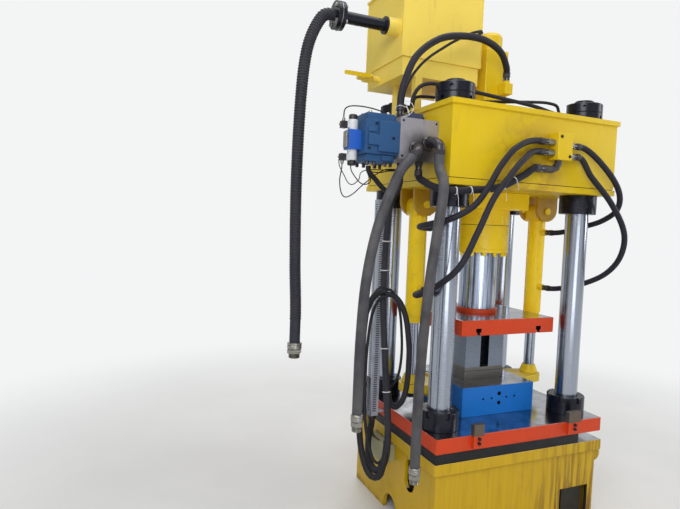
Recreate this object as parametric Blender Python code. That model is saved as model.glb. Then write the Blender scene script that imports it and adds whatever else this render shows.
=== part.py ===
"""Four-column powder-compacting hydraulic press with a floating die.

Metres, +Z up. The origin is on the floor at the press centre, +X runs to the
right along the front and +Y runs to the back.
"""

import math

import bmesh
import bpy
from mathutils import Vector
from mathutils.geometry import interpolate_bezier

# Clearances
GAP = 0.0003
RUNNING_GAP = 0.0005

# Columns and their nuts
COLUMN_X = 0.425
COLUMN_Y = 0.300
COLUMN_RADIUS = 0.060
COLUMN_CAP_RADIUS = 0.050
COLUMN_CAP_HEIGHT = 0.020
FOOT_NUT_RADIUS = 0.072
FOOT_NUT_HEIGHT = 0.050
LOWER_NUT_RADIUS = 0.100
LOWER_NUT_HEIGHT = 0.095
CROWN_NUT_RADIUS = 0.097
CROWN_NUT_HEIGHT = 0.102
TOP_NUT_RADIUS = 0.097
TOP_NUT_HEIGHT = 0.100
NUT_CHAMFER = 0.004
SLOT_COUNT = 6
SLOT_WIDTH = 0.020
SLOT_DEPTH = 0.009
SLOT_HEIGHT = 0.030
SPANNER_HOLE_COUNT = 4
SPANNER_HOLE_RADIUS = 0.009
SPANNER_HOLE_DEPTH = 0.016

# Bed
BED_TOP = 0.470
BED_PLATE_THICKNESS = 0.058
BED_PLATE_HALF_X = 0.540
BED_PLATE_HALF_Y = 0.460
BED_HALF_X = 0.520
BED_HALF_Y = 0.440
BED_WALL = 0.020
BED_RIB = 0.030
SIDE_HOLE_Y = -0.200
SIDE_HOLE_Z = 0.300
SIDE_HOLE_WIDTH = 0.100
SIDE_HOLE_HEIGHT = 0.170
ARCH_WIDTH = 0.140
ARCH_HEIGHT = 0.100
NOTCH_LEFT = 0.280
NOTCH_RIGHT = 0.480
NOTCH_TOP = 0.215
PAD_LEFT = 0.310
PAD_WIDTH = 0.140
PAD_DEPTH = 0.060
PAD_HEIGHT = 0.260
SIDE_LUG_Y = -0.400
SIDE_LUG_Z = 0.370
SIDE_LUG_HEIGHT = 0.080
SIDE_LUG_REACH = 0.066
SIDE_LUG_THICKNESS = 0.030

# Spacer and bolster plates
SPACER_LEFT = -0.535
SPACER_RIGHT = 0.375
SPACER_HALF_Y = 0.455
SPACER_THICKNESS = 0.0465
BOLSTER_HALF_X = 0.535
BOLSTER_HALF_Y = 0.455
BOLSTER_THICKNESS = 0.0755
STOP_BAR_CENTRES = (-0.304, 0.319)
STOP_BAR_WIDTHS = (0.061, 0.084)
STOP_BAR_THICKNESS = 0.022
STOP_BAR_RISE = 0.058
STOP_BAR_DROP = 0.060

# Crown
CROWN_LOW = 1.811
CROWN_HEIGHT = 0.399
CROWN_HALF_X = 0.5275
CROWN_HALF_Y = 0.440
CROWN_LIP = 0.010
CROWN_LIP_THICKNESS = 0.025
CROWN_FLANGE = 0.005
CROWN_FLANGE_THICKNESS = 0.030
CROWN_SEAM = 0.004
CLEVIS_X = 0.420
CLEVIS_WIDTH = 0.150
CLEVIS_DROP = 0.146
CLEVIS_PLATE = 0.022
CLEVIS_PIN_RADIUS = 0.020
CLEVIS_PIN_DROP = 0.085

# Main cylinder, ram and slide
CYLINDER_RADIUS = 0.160
CYLINDER_BORE_RADIUS = 0.125
CYLINDER_LOW = 1.496
CYLINDER_TOP_WALL = 0.030
CYLINDER_PORT_RADIUS = 0.030
CYLINDER_FLANGE_HALF = 0.185
CYLINDER_FLANGE_THICKNESS = 0.091
CYLINDER_JOINT_DROP = 0.090
GLAND_THICKNESS = 0.021
GLAND_BOLT_COUNT = 14
GLAND_BOLT_CIRCLE = 0.143
GLAND_BOLT_RADIUS = 0.010
GLAND_BOLT_HEIGHT = 0.012
RAM_RADIUS = 0.105
RAM_HEAD_HEIGHT = 0.075
RAM_STROKE = 0.300
RAM_FLANGE_RADIUS = 0.120
RAM_FLANGE_THICKNESS = 0.022
SLIDE_LOW = 1.047
SLIDE_THICKNESS = 0.083
SLIDE_HALF_X = 0.307
SLIDE_HALF_Y = 0.296
T_SLOT_X = 0.200
T_SLOT_NECK = 0.018
T_SLOT_WIDTH = 0.034
T_SLOT_NECK_HEIGHT = 0.018
T_SLOT_HEIGHT = 0.020

# Guide rod
GUIDE_X = -0.224
GUIDE_RADIUS = 0.0125
GUIDE_RISE = 0.680
GUIDE_FOOT = 0.055
GUIDE_FOOT_THICKNESS = 0.012
GUIDE_NUT_RADIUS = 0.021
GUIDE_NUT_HEIGHT = 0.018
GUIDE_BOSS_RADIUS = 0.036
GUIDE_BOSS_DROP = 0.146

# Punches and floating die
PUNCH_HALF_X = 0.134
PUNCH_HALF_Y = 0.104
PUNCH_CLEARANCE = 0.001
HOLDER_HALF_X = 0.130
HOLDER_HALF_Y = 0.100
HOLDER_LOW = 0.800
HOLDER_GAP = 0.058
HOLDER_RECESS = 0.040
HOLDER_PLATE = 0.020
PUNCH_ENTRY = 0.018
DIE_HALF_X = 0.240
DIE_HALF_Y = 0.240
DIE_HEIGHT = 0.161
LOWER_PUNCH_HEIGHT = 0.075
DIE_LIFT = 0.120

# Lift cylinders
LIFT_X = CLEVIS_X
LIFT_BARREL_RADIUS = 0.050
LIFT_BARREL_LOW = 1.076
LIFT_GLAND_HEIGHT = 0.036
LIFT_GLAND_RADIUS = 0.044
LIFT_BORE_RADIUS = 0.040
LIFT_BORE_TOP = 1.560
LIFT_EYE_HALF_X = 0.045
LIFT_ROD_RADIUS = 0.031
LIFT_PISTON_LOW = 1.150
LIFT_PISTON_HEIGHT = 0.045
LIFT_PLATE_LOW = 0.690
LIFT_PLATE_THICKNESS = 0.045
LIFT_PLATE_HALF_Y = 0.075
LIFT_PLATE_REACH = 0.485
LIFT_SIDE_THICKNESS = 0.022
LIFT_SIDE_HALF_Y = 0.110
LIFT_SIDE_LOW = 0.615
LIFT_SIDE_TOP = 0.748
LIFT_GUSSET = 0.016
GUSSET_Y = 0.060
GUSSET_CLEARANCE = 0.020
CONE_NUT_RADIUS = 0.052
CONE_NUT_TOP_RADIUS = 0.038
CONE_NUT_HEIGHT = 0.050
PORT_RADIUS = 0.019
PORT_LENGTH = 0.036
UPPER_PORT_Z = 1.600
LOWER_PORT_Z = 1.270

# Tank, prefill valve and return pipe
TANK_LEFT = -0.610
TANK_RIGHT = -0.120
TANK_FRONT = -0.080
TANK_BACK = 0.350
TANK_LOW = 2.390
TANK_HEIGHT = 0.510
TANK_BAND_HEIGHT = 0.095
TANK_BAND_INSET = 0.008
TANK_LID_THICKNESS = 0.012
TANK_LEG = 0.040
TANK_LEG_X = (-0.500, -0.190)
TANK_LEG_Y = (-0.055, 0.160)
PREFILL_FLANGE_RADIUS = 0.130
PREFILL_FLANGE_THICKNESS = 0.025
PREFILL_HALF = 0.075
PREFILL_HEIGHT = 0.475
RETURN_Y = -0.020
RETURN_Z = 2.640
RETURN_STUB_REACH = 0.070
RETURN_STUB_RADIUS = 0.045
RETURN_PIPE_RADIUS = 0.030
RETURN_PIPE_END = -0.970
RETURN_FLANGE_RADIUS = 0.070
RETURN_FLANGE_THICKNESS = 0.022
BALL_VALVE_X = -0.672
BALL_VALVE_Y = 0.200
BALL_VALVE_Z = 2.425
BALL_VALVE_RADIUS = 0.027
LEVER_LENGTH = 0.160
LEVER_WIDTH = 0.022
LEVER_THICKNESS = 0.005
LEVER_STEM_RADIUS = 0.006
LEVER_STAND_OFF = 0.046

# Valves on the crown
BLOCK_WIDTH = 0.2092
BLOCK_FRONT = -0.330
BLOCK_BACK = -0.130
BLOCK_LOW = 1.920
BLOCK_TOP = 2.115
VALVE_WIDTH = 0.1727
VALVE_HALF_Y = 0.085
VALVE_Y = -0.235
VALVE_LOW = 1.900
VALVE_TOP = 2.124
VALVE_CAP_HEIGHT = 0.034
VALVE_CAP_INSET = 0.014
PILOT_WIDTH = 0.0577
PILOT_HALF_Y = 0.036
PILOT_LOW = 1.880
PILOT_TOP = 2.117
MANIFOLD_LEFT = 0.060
MANIFOLD_RIGHT = 0.155
MANIFOLD_DEPTH = 0.065
MANIFOLD_LOW = 1.965
MANIFOLD_TOP = 2.100
FITTING_RADIUS = 0.017

# Electrical pieces on the left side
DUCT_X = -0.600
DUCT_Y = 0.105
DUCT_WIDTH = 0.050
DUCT_WALL = 0.003
DUCT_LOW = 0.530
DUCT_TOP = 1.746
TERMINAL_LOW = 0.310
TERMINAL_HEIGHT = 0.095
TERMINAL_REACH = 0.080
TERMINAL_FRONT = -0.040
TERMINAL_BACK = 0.180

# Hoses
LIFT_HOSE_RADIUS = 0.015
BUNDLE_RADIUS = 0.0175
PRESSURE_HOSE_RADIUS = 0.0175
DRAIN_HOSE_RADIUS = 0.007
CONDUIT_RADIUS = 0.016
RETURN_HOSE_RADIUS = 0.030
SUPPLY_HOSE_RADIUS = 0.0235
COUPLING_LENGTH = 0.080

# Levels and places worked out from the sizes above
BED_PLATE_LOW = BED_TOP - BED_PLATE_THICKNESS
SPACER_LOW = BED_TOP + GAP
SPACER_TOP = SPACER_LOW + SPACER_THICKNESS
BOLSTER_LOW = SPACER_TOP + GAP
BOLSTER_TOP = BOLSTER_LOW + BOLSTER_THICKNESS
CROWN_TOP = CROWN_LOW + CROWN_HEIGHT
SLIDE_TOP = SLIDE_LOW + SLIDE_THICKNESS
DIE_LOW = BOLSTER_TOP + GAP
DIE_TOP = DIE_LOW + DIE_HEIGHT
COLUMN_BORE = COLUMN_RADIUS + GAP
COLUMNS = {
    "front_left": (-COLUMN_X, -COLUMN_Y),
    "front_right": (COLUMN_X, -COLUMN_Y),
    "back_left": (-COLUMN_X, COLUMN_Y),
    "back_right": (COLUMN_X, COLUMN_Y),
}
CROWN_LEFT = -CROWN_HALF_X
BLOCK_LEFT = CROWN_LEFT - GAP - BLOCK_WIDTH
VALVE_LEFT = BLOCK_LEFT - GAP - VALVE_WIDTH
PILOT_LEFT = VALVE_LEFT - PILOT_WIDTH
CLEVIS_PIN_Z = CROWN_LOW - CLEVIS_PIN_DROP
CLEVIS_INNER_Y = LIFT_BARREL_RADIUS + 0.009
CLEVIS_OUTER_Y = CLEVIS_INNER_Y + CLEVIS_PLATE
SIDES = {"left": -1, "right": 1}

ROUND = 20
SMALL_ROUND = 12
CHAMFER = 0.0025


def clear_scene():
    """Remove whatever the open file holds."""
    for thing in list(bpy.data.objects):
        bpy.data.objects.remove(thing)


def paint(name, colour, roughness, metallic=0.0):
    """Return a Principled material, made once for each name."""
    material = bpy.data.materials.get(name)
    if material is None:
        material = bpy.data.materials.new(name)
        material.use_nodes = True
        shader = material.node_tree.nodes["Principled BSDF"]
        shader.inputs["Base Color"].default_value = (*colour, 1.0)
        shader.inputs["Roughness"].default_value = roughness
        shader.inputs["Metallic"].default_value = metallic
    return material


def yellow_paint():
    return paint("yellow_paint", (0.69, 0.47, 0.015), 0.4)


def orange_paint():
    return paint("orange_paint", (0.71, 0.085, 0.02), 0.4)


def blue_paint():
    return paint("blue_paint", (0.01, 0.13, 0.50), 0.4)


def chrome():
    return paint("hard_chrome", (0.75, 0.76, 0.78), 0.12, 1.0)


def bright_steel():
    return paint("bright_steel", (0.55, 0.56, 0.58), 0.25, 1.0)


def black_steel():
    return paint("black_steel", (0.02, 0.022, 0.03), 0.35, 0.6)


def grey_paint():
    return paint("grey_paint", (0.20, 0.22, 0.22), 0.5)


def pale_plastic():
    return paint("pale_plastic", (0.62, 0.62, 0.60), 0.5)


def black_rubber():
    return paint("black_rubber", (0.045, 0.043, 0.05), 0.6)


def new_object(name, mesh, material=None):
    """Link an object for the mesh and give it its material."""
    thing = bpy.data.objects.new(name, mesh)
    bpy.context.collection.objects.link(thing)
    if material:
        thing.data.materials.clear()
        thing.data.materials.append(material)
    return thing


def from_bmesh(name, shape, material=None, smooth=False):
    """Turn a bmesh into an object with its faces pointing out."""
    bmesh.ops.recalc_face_normals(shape, faces=shape.faces)
    mesh = bpy.data.meshes.new(name)
    shape.to_mesh(mesh)
    shape.free()
    if smooth:
        mesh.shade_smooth()
        mesh.set_sharp_from_angle(angle=math.radians(35))
    return new_object(name, mesh, material)


def bake(thing):
    """Replace an object's mesh by what its modifiers make of it."""
    bpy.context.view_layer.update()
    graph = bpy.context.evaluated_depsgraph_get()
    mesh = bpy.data.meshes.new_from_object(thing.evaluated_get(graph))
    thing.modifiers.clear()
    thing.data = mesh
    return thing


def combine(target, other, operation):
    """Apply an exact Boolean to the target and remove the other object."""
    step = target.modifiers.new("Combine", "BOOLEAN")
    step.operation = operation
    step.solver = "EXACT"
    step.object = other
    bake(target)
    bpy.data.objects.remove(other)
    return target


def cut(target, *cutters):
    """Cut each cutter out of the target."""
    for cutter in cutters:
        combine(target, cutter, "DIFFERENCE")
    return target


def join(target, *pieces):
    """Weld each piece to the target."""
    for piece in pieces:
        combine(target, piece, "UNION")
    return target


def chamfered(thing, width=CHAMFER):
    """Break an object's sharp edges."""
    edge = thing.modifiers.new("Chamfer", "BEVEL")
    edge.width = width
    edge.segments = 1
    edge.limit_method = "ANGLE"
    edge.angle_limit = math.radians(40)
    return bake(thing)


def stepped_block(name, sections, material=None, centre=(0.0, 0.0)):
    """Block whose rectangular sections (half x, half y, z) are joined upwards."""
    shape = bmesh.new()
    rings = []
    for half_x, half_y, height in sections:
        corners = ((-1, -1), (1, -1), (1, 1), (-1, 1))
        rings.append([
            shape.verts.new((centre[0] + sx * half_x, centre[1] + sy * half_y, height))
            for sx, sy in corners
        ])
    for low, high in zip(rings, rings[1:]):
        for here in range(4):
            there = (here + 1) % 4
            shape.faces.new((low[here], low[there], high[there], high[here]))
    shape.faces.new(rings[0])
    shape.faces.new(rings[-1])
    return from_bmesh(name, shape, material)


def box(name, low, high, material=None):
    """Box between two corners."""
    half_x = (high[0] - low[0]) / 2
    half_y = (high[1] - low[1]) / 2
    centre = (low[0] + half_x, low[1] + half_y)
    return stepped_block(name, [(half_x, half_y, low[2]), (half_x, half_y, high[2])], material, centre)


def turned(name, profile, material=None, at=(0.0, 0.0, 0.0), segments=ROUND):
    """Solid turned about a vertical axis from closed (radius, height) points."""
    shape = bmesh.new()
    corners = [shape.verts.new((radius, 0.0, height)) for radius, height in profile]
    outline = [shape.edges.new(pair) for pair in zip(corners, corners[1:])]
    if profile[0][0] > 0 or profile[-1][0] > 0:
        outline.append(shape.edges.new((corners[-1], corners[0])))
    bmesh.ops.spin(
        shape, geom=corners + outline, axis=(0, 0, 1), cent=(0, 0, 0),
        steps=segments, angle=math.tau, use_merge=True,
    )
    bmesh.ops.remove_doubles(shape, verts=shape.verts, dist=1e-6)
    bmesh.ops.translate(shape, verts=shape.verts, vec=at)
    return from_bmesh(name, shape, material, smooth=True)


def rod(start, end, radius, segments=SMALL_ROUND, name="rod", material=None):
    """Plain round bar between two points."""
    start, end = Vector(start), Vector(end)
    shape = bmesh.new()
    bmesh.ops.create_cone(
        shape, cap_ends=True, segments=segments, radius1=radius, radius2=radius,
        depth=(end - start).length,
    )
    turn = (end - start).to_track_quat("Z", "Y").to_matrix()
    bmesh.ops.rotate(shape, verts=shape.verts, cent=(0, 0, 0), matrix=turn)
    bmesh.ops.translate(shape, verts=shape.verts, vec=(start + end) / 2)
    return from_bmesh(name, shape, material, smooth=True)


def extruded(name, outline, axis, low, high, material=None):
    """Prism of a flat outline, drawn across the named axis and run along it."""
    place = {
        "X": lambda a, b, along: (along, a, b),
        "Y": lambda a, b, along: (a, along, b),
        "Z": lambda a, b, along: (a, b, along),
    }[axis]
    shape = bmesh.new()
    face = shape.faces.new([shape.verts.new(place(a, b, low)) for a, b in outline])
    grown = bmesh.ops.extrude_face_region(shape, geom=[face])
    moved = [item for item in grown["geom"] if isinstance(item, bmesh.types.BMVert)]
    bmesh.ops.translate(shape, verts=moved, vec=place(0.0, 0.0, high - low))
    return from_bmesh(name, shape, material)


def arc(centre, radius, start, end, steps):
    """Points on an arc, with its angles in degrees."""
    angles = [math.radians(start + (end - start) * step / steps) for step in range(steps + 1)]
    return [(centre[0] + radius * math.cos(a), centre[1] + radius * math.sin(a)) for a in angles]


def smooth_path(stops, spacing):
    """Evenly spaced points on a smooth curve whose first and last spans are straight."""
    stops = [Vector(stop) for stop in stops]
    slopes = [stops[1] - stops[0]]
    slopes += [after - before for before, after in zip(stops[1:], stops[3:-1])]
    slopes.append(stops[-1] - stops[-2])
    slopes = [slope.normalized() for slope in slopes]
    middle = stops[1:-1]
    fine = [middle[0]]
    for start, end, leave, arrive in zip(middle, middle[1:], slopes, slopes[1:]):
        reach = (end - start).length / 3
        fine += interpolate_bezier(start, start + leave * reach, end - arrive * reach, end, 17)[1:]
    travelled = [0.0]
    for before, after in zip(fine, fine[1:]):
        travelled.append(travelled[-1] + (after - before).length)
    count = max(2, round(travelled[-1] / spacing))
    path = [stops[0]]
    index = 0
    for step in range(count + 1):
        want = travelled[-1] * step / count
        while index < len(fine) - 2 and travelled[index + 1] < want:
            index += 1
        share = (want - travelled[index]) / (travelled[index + 1] - travelled[index])
        path.append(fine[index].lerp(fine[index + 1], share))
    return [*path, stops[-1]]


def tube(name, stops, radius, material=None, spacing_in_diameters=2.6, resolution=2):
    """Round tube with closed ends along a smooth curve through the stops."""
    path = smooth_path(stops, spacing_in_diameters * 2 * radius)
    curve = bpy.data.curves.new(name, "CURVE")
    curve.dimensions = "3D"
    curve.bevel_depth = radius
    curve.bevel_resolution = resolution
    curve.use_fill_caps = True
    spline = curve.splines.new("POLY")
    spline.points.add(len(path) - 1)
    for point, place in zip(spline.points, path):
        point.co = (*place, 1.0)
    return new_object(name, curve, material)


def as_mesh(curve_object, material=None):
    """Turn a tube into a mesh object that Booleans can use."""
    bpy.context.view_layer.update()
    graph = bpy.context.evaluated_depsgraph_get()
    mesh = bpy.data.meshes.new_from_object(curve_object.evaluated_get(graph))
    name = curve_object.name
    bpy.data.objects.remove(curve_object)
    shape = bmesh.new()
    shape.from_mesh(mesh)
    bmesh.ops.remove_doubles(shape, verts=shape.verts, dist=1e-6)
    return from_bmesh(name, shape, material, smooth=True)


def column_holes(low, high):
    """Four cutters for the columns' bores."""
    return [
        rod((x, y, low - 0.05), (x, y, high + 0.05), COLUMN_BORE, ROUND)
        for x, y in COLUMNS.values()
    ]


def bed_plate():
    """Thick plate that closes the bed's top and takes the columns' feet."""
    plate = chamfered(box(
        "bed_plate", (-BED_PLATE_HALF_X, -BED_PLATE_HALF_Y, BED_PLATE_LOW),
        (BED_PLATE_HALF_X, BED_PLATE_HALF_Y, BED_TOP), yellow_paint(),
    ))
    return cut(plate, *column_holes(BED_PLATE_LOW, BED_TOP))


def bed_frame():
    """Welded walls under the bed plate, with one cross rib between two cells."""
    wall_top = BED_PLATE_LOW - GAP
    frame = box("bed_frame", (-BED_HALF_X, -BED_HALF_Y, 0.0), (BED_HALF_X, BED_HALF_Y, wall_top), yellow_paint())
    inner_x = BED_HALF_X - BED_WALL
    inner_y = BED_HALF_Y - BED_WALL
    for side in SIDES.values():
        ends = sorted((side * BED_RIB / 2, side * inner_x))
        cut(frame, box("cell", (ends[0], -inner_y, -0.05), (ends[1], inner_y, wall_top + 0.05)))
        arch = [(-ARCH_WIDTH / 2, -0.05), (ARCH_WIDTH / 2, -0.05)]
        arch += arc((0.0, ARCH_HEIGHT - ARCH_WIDTH / 2), ARCH_WIDTH / 2, 0, 180, 12)
        ends = sorted((side * (inner_x - 0.02), side * (BED_HALF_X + 0.02)))
        cut(frame, extruded("arch", arch, "X", *ends))
    straight = (SIDE_HOLE_HEIGHT - SIDE_HOLE_WIDTH) / 2
    radius = SIDE_HOLE_WIDTH / 2
    oval = arc((SIDE_HOLE_Y, SIDE_HOLE_Z + straight), radius, 0, 180, 10)
    oval += arc((SIDE_HOLE_Y, SIDE_HOLE_Z - straight), radius, 180, 360, 10)
    cut(frame, extruded("oval", oval, "X", -BED_HALF_X - 0.02, -inner_x + 0.02))
    cut(frame, box(
        "notch", (NOTCH_LEFT, -BED_HALF_Y - 0.02, -0.05), (NOTCH_RIGHT, -inner_y + 0.01, NOTCH_TOP)
    ))
    join(frame, box(
        "pad", (PAD_LEFT, -inner_y - 0.002, 0.0), (PAD_LEFT + PAD_WIDTH, -inner_y + PAD_DEPTH, PAD_HEIGHT)
    ))
    lug_reach = BED_HALF_X + SIDE_LUG_REACH
    lug_middle = (lug_reach - SIDE_LUG_HEIGHT / 2, SIDE_LUG_Z)
    lug = [(BED_HALF_X - 0.002, SIDE_LUG_Z + SIDE_LUG_HEIGHT / 2)]
    lug += [(BED_HALF_X - 0.002, SIDE_LUG_Z - SIDE_LUG_HEIGHT / 2)]
    lug += arc(lug_middle, SIDE_LUG_HEIGHT / 2, -90, 90, 10)
    lug_front = SIDE_LUG_Y - SIDE_LUG_THICKNESS / 2
    return join(frame, extruded("lug", lug, "Y", lug_front, lug_front + SIDE_LUG_THICKNESS))


def bed_spacer():
    """Black plate between the bed and the bolster, short at the right end."""
    plate = box(
        "bed_spacer", (SPACER_LEFT, -SPACER_HALF_Y, SPACER_LOW),
        (SPACER_RIGHT, SPACER_HALF_Y, SPACER_TOP), black_steel(),
    )
    return cut(plate, *column_holes(SPACER_LOW, SPACER_TOP))


def bolster_plate():
    """Thick table plate with two stop bars on its front edge."""
    plate = chamfered(box(
        "bolster_plate", (-BOLSTER_HALF_X, -BOLSTER_HALF_Y, BOLSTER_LOW),
        (BOLSTER_HALF_X, BOLSTER_HALF_Y, BOLSTER_TOP), orange_paint(),
    ))
    for centre, width in zip(STOP_BAR_CENTRES, STOP_BAR_WIDTHS):
        front = -BOLSTER_HALF_Y - STOP_BAR_THICKNESS
        bar = box(
            "stop_bar", (centre - width / 2, front, BOLSTER_TOP - STOP_BAR_DROP),
            (centre + width / 2, -BOLSTER_HALF_Y + CHAMFER * 2, BOLSTER_TOP + STOP_BAR_RISE),
        )
        join(plate, bar)
        for height in (-0.035, -0.012):
            join(plate, rod(
                (centre, front - 0.009, BOLSTER_TOP + height), (centre, front + 0.004, BOLSTER_TOP + height),
                0.009, 6,
            ))
    return cut(plate, *column_holes(BOLSTER_LOW, BOLSTER_TOP))


def columns():
    """Hard-chromed columns with a foot nut under the bed plate."""
    foot = BED_PLATE_LOW - GAP
    nut_top = CROWN_TOP + GAP + TOP_NUT_HEIGHT
    profile = [
        (0.0, foot - FOOT_NUT_HEIGHT),
        (FOOT_NUT_RADIUS, foot - FOOT_NUT_HEIGHT),
        (FOOT_NUT_RADIUS, foot),
        (COLUMN_RADIUS, foot),
        (COLUMN_RADIUS, nut_top - 0.004),
        (COLUMN_CAP_RADIUS, nut_top),
        (COLUMN_CAP_RADIUS, nut_top + COLUMN_CAP_HEIGHT),
        (0.0, nut_top + COLUMN_CAP_HEIGHT),
    ]
    for corner, (x, y) in COLUMNS.items():
        turned(f"column_{corner}", profile, chrome(), (x, y, 0.0))


def spread(count, make, first=0.0):
    """Call make with each of the angles of an even circle."""
    return [make(first + math.tau * step / count) for step in range(count)]


def slot_cutter(angle, radius, low, high):
    """Box that cuts one spanner slot in a nut's rim."""
    shape = bmesh.new()
    bmesh.ops.create_cube(shape, size=1.0)
    for corner in shape.verts:
        corner.co.x = radius - SLOT_DEPTH if corner.co.x < 0 else radius + 0.01
        corner.co.y = math.copysign(SLOT_WIDTH / 2, corner.co.y)
        corner.co.z = low if corner.co.z < 0 else high
    turn = Vector((math.cos(angle), math.sin(angle), 0.0)).to_track_quat("X", "Z").to_matrix()
    bmesh.ops.rotate(shape, verts=shape.verts, cent=(0, 0, 0), matrix=turn)
    return from_bmesh("slot", shape)


def nut_blank(name, radius, height, seam=False):
    """Ring nut standing on z = 0, with a chamfered top rim."""
    profile = [(COLUMN_BORE, 0.0), (radius, 0.0)]
    if seam:
        middle = height / 2
        groove = NUT_CHAMFER / 2
        profile += [(radius, middle - groove), (radius - groove, middle), (radius, middle + groove)]
    profile += [(radius, height - NUT_CHAMFER), (radius - NUT_CHAMFER, height), (COLUMN_BORE, height)]
    return turned(name, profile, black_steel())


def place_nuts(kind, blank, low):
    """Put a copy of the finished nut on each column."""
    for corner, (x, y) in COLUMNS.items():
        nut = new_object(f"{kind}_{corner}", blank.data)
        nut.location = (x, y, low)
    bpy.data.objects.remove(blank)


def column_nuts():
    """Slotted nuts on the bolster and under the crown, drilled nuts on top."""
    lower = nut_blank("nut", LOWER_NUT_RADIUS, LOWER_NUT_HEIGHT)
    cut(lower, *spread(SLOT_COUNT, lambda angle: slot_cutter(
        angle, LOWER_NUT_RADIUS, LOWER_NUT_HEIGHT - SLOT_HEIGHT, LOWER_NUT_HEIGHT + 0.01
    ), 0.4))
    place_nuts("lower_nut", lower, BOLSTER_TOP + GAP)
    upper = nut_blank("nut", CROWN_NUT_RADIUS, CROWN_NUT_HEIGHT)
    cut(upper, *spread(SLOT_COUNT, lambda angle: slot_cutter(
        angle, CROWN_NUT_RADIUS, -0.01, SLOT_HEIGHT
    ), 0.2))
    place_nuts("crown_nut", upper, CROWN_LOW - GAP - CROWN_NUT_HEIGHT)
    top = nut_blank("nut", TOP_NUT_RADIUS, TOP_NUT_HEIGHT, seam=True)
    for height, first in ((0.25, 0.3), (0.75, 0.8)):
        cut(top, *spread(SPANNER_HOLE_COUNT, lambda angle: rod(
            ((TOP_NUT_RADIUS - SPANNER_HOLE_DEPTH) * math.cos(angle),
             (TOP_NUT_RADIUS - SPANNER_HOLE_DEPTH) * math.sin(angle), height * TOP_NUT_HEIGHT),
            ((TOP_NUT_RADIUS + 0.01) * math.cos(angle),
             (TOP_NUT_RADIUS + 0.01) * math.sin(angle), height * TOP_NUT_HEIGHT),
            SPANNER_HOLE_RADIUS, 6,
        ), first))
    place_nuts("top_nut", top, CROWN_TOP + GAP)


def clevis_plate(side, front):
    """U-shaped lug under the crown that holds a lift cylinder's pin."""
    middle = CROWN_LOW - CLEVIS_DROP + CLEVIS_WIDTH / 2
    outline = [(side * CLEVIS_X + CLEVIS_WIDTH / 2, CROWN_LOW + 0.002)]
    outline += [(side * CLEVIS_X - CLEVIS_WIDTH / 2, CROWN_LOW + 0.002)]
    outline += arc((side * CLEVIS_X, middle), CLEVIS_WIDTH / 2, 180, 360, 14)
    return extruded("clevis", outline, "Y", front, front + CLEVIS_PLATE)


def guide_bracket():
    """Boss and gusset under the crown that steady the guide rod."""
    low = CROWN_LOW - GUIDE_BOSS_DROP
    boss = rod((GUIDE_X, 0.0, low), (GUIDE_X, 0.0, CROWN_LOW + 0.002), GUIDE_BOSS_RADIUS, ROUND)
    reach = GUIDE_X - GUIDE_BOSS_RADIUS
    gusset = [(GUIDE_X, low + 0.01), (GUIDE_X, CROWN_LOW + 0.002)]
    gusset += [(reach - 0.05, CROWN_LOW + 0.002), (reach - 0.05, CROWN_LOW - 0.02), (reach, low + 0.01)]
    return join(boss, extruded("gusset", gusset, "Y", -0.012, 0.012))


def crown():
    """Upper beam with its welded lugs, bored for the columns and the cylinder."""
    flange_x = CROWN_HALF_X + CROWN_FLANGE
    flange_y = CROWN_HALF_Y + CROWN_FLANGE
    flange_top = CROWN_LOW + CROWN_FLANGE_THICKNESS
    lip_x = CROWN_HALF_X + CROWN_LIP
    lip_y = CROWN_HALF_Y + CROWN_LIP
    lip_low = CROWN_TOP - CROWN_LIP_THICKNESS
    beam = stepped_block("crown", [
        (flange_x, flange_y, CROWN_LOW),
        (flange_x, flange_y, flange_top),
        (CROWN_HALF_X - CROWN_SEAM, CROWN_HALF_Y - CROWN_SEAM, flange_top),
        (CROWN_HALF_X - CROWN_SEAM, CROWN_HALF_Y - CROWN_SEAM, flange_top + CROWN_SEAM),
        (CROWN_HALF_X, CROWN_HALF_Y, flange_top + CROWN_SEAM),
        (CROWN_HALF_X, CROWN_HALF_Y, lip_low),
        (lip_x, lip_y, lip_low),
        (lip_x, lip_y, CROWN_TOP),
    ], yellow_paint())
    for side in SIDES.values():
        join(beam, clevis_plate(side, CLEVIS_INNER_Y), clevis_plate(side, -CLEVIS_OUTER_Y))
        cut(beam, rod(
            (side * CLEVIS_X, -CLEVIS_OUTER_Y - 0.02, CLEVIS_PIN_Z),
            (side * CLEVIS_X, CLEVIS_OUTER_Y + 0.02, CLEVIS_PIN_Z), CLEVIS_PIN_RADIUS + GAP,
        ))
    join(beam, guide_bracket())
    guide_hole = rod(
        (GUIDE_X, 0.0, CROWN_LOW - GUIDE_BOSS_DROP - 0.05), (GUIDE_X, 0.0, CROWN_TOP + 0.05),
        GUIDE_RADIUS + RUNNING_GAP,
    )
    bore = rod((0, 0, CROWN_LOW - 0.05), (0, 0, CROWN_TOP + 0.05), CYLINDER_RADIUS + GAP, ROUND)
    return cut(beam, guide_hole, bore, *column_holes(CROWN_LOW, CROWN_TOP))


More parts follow.
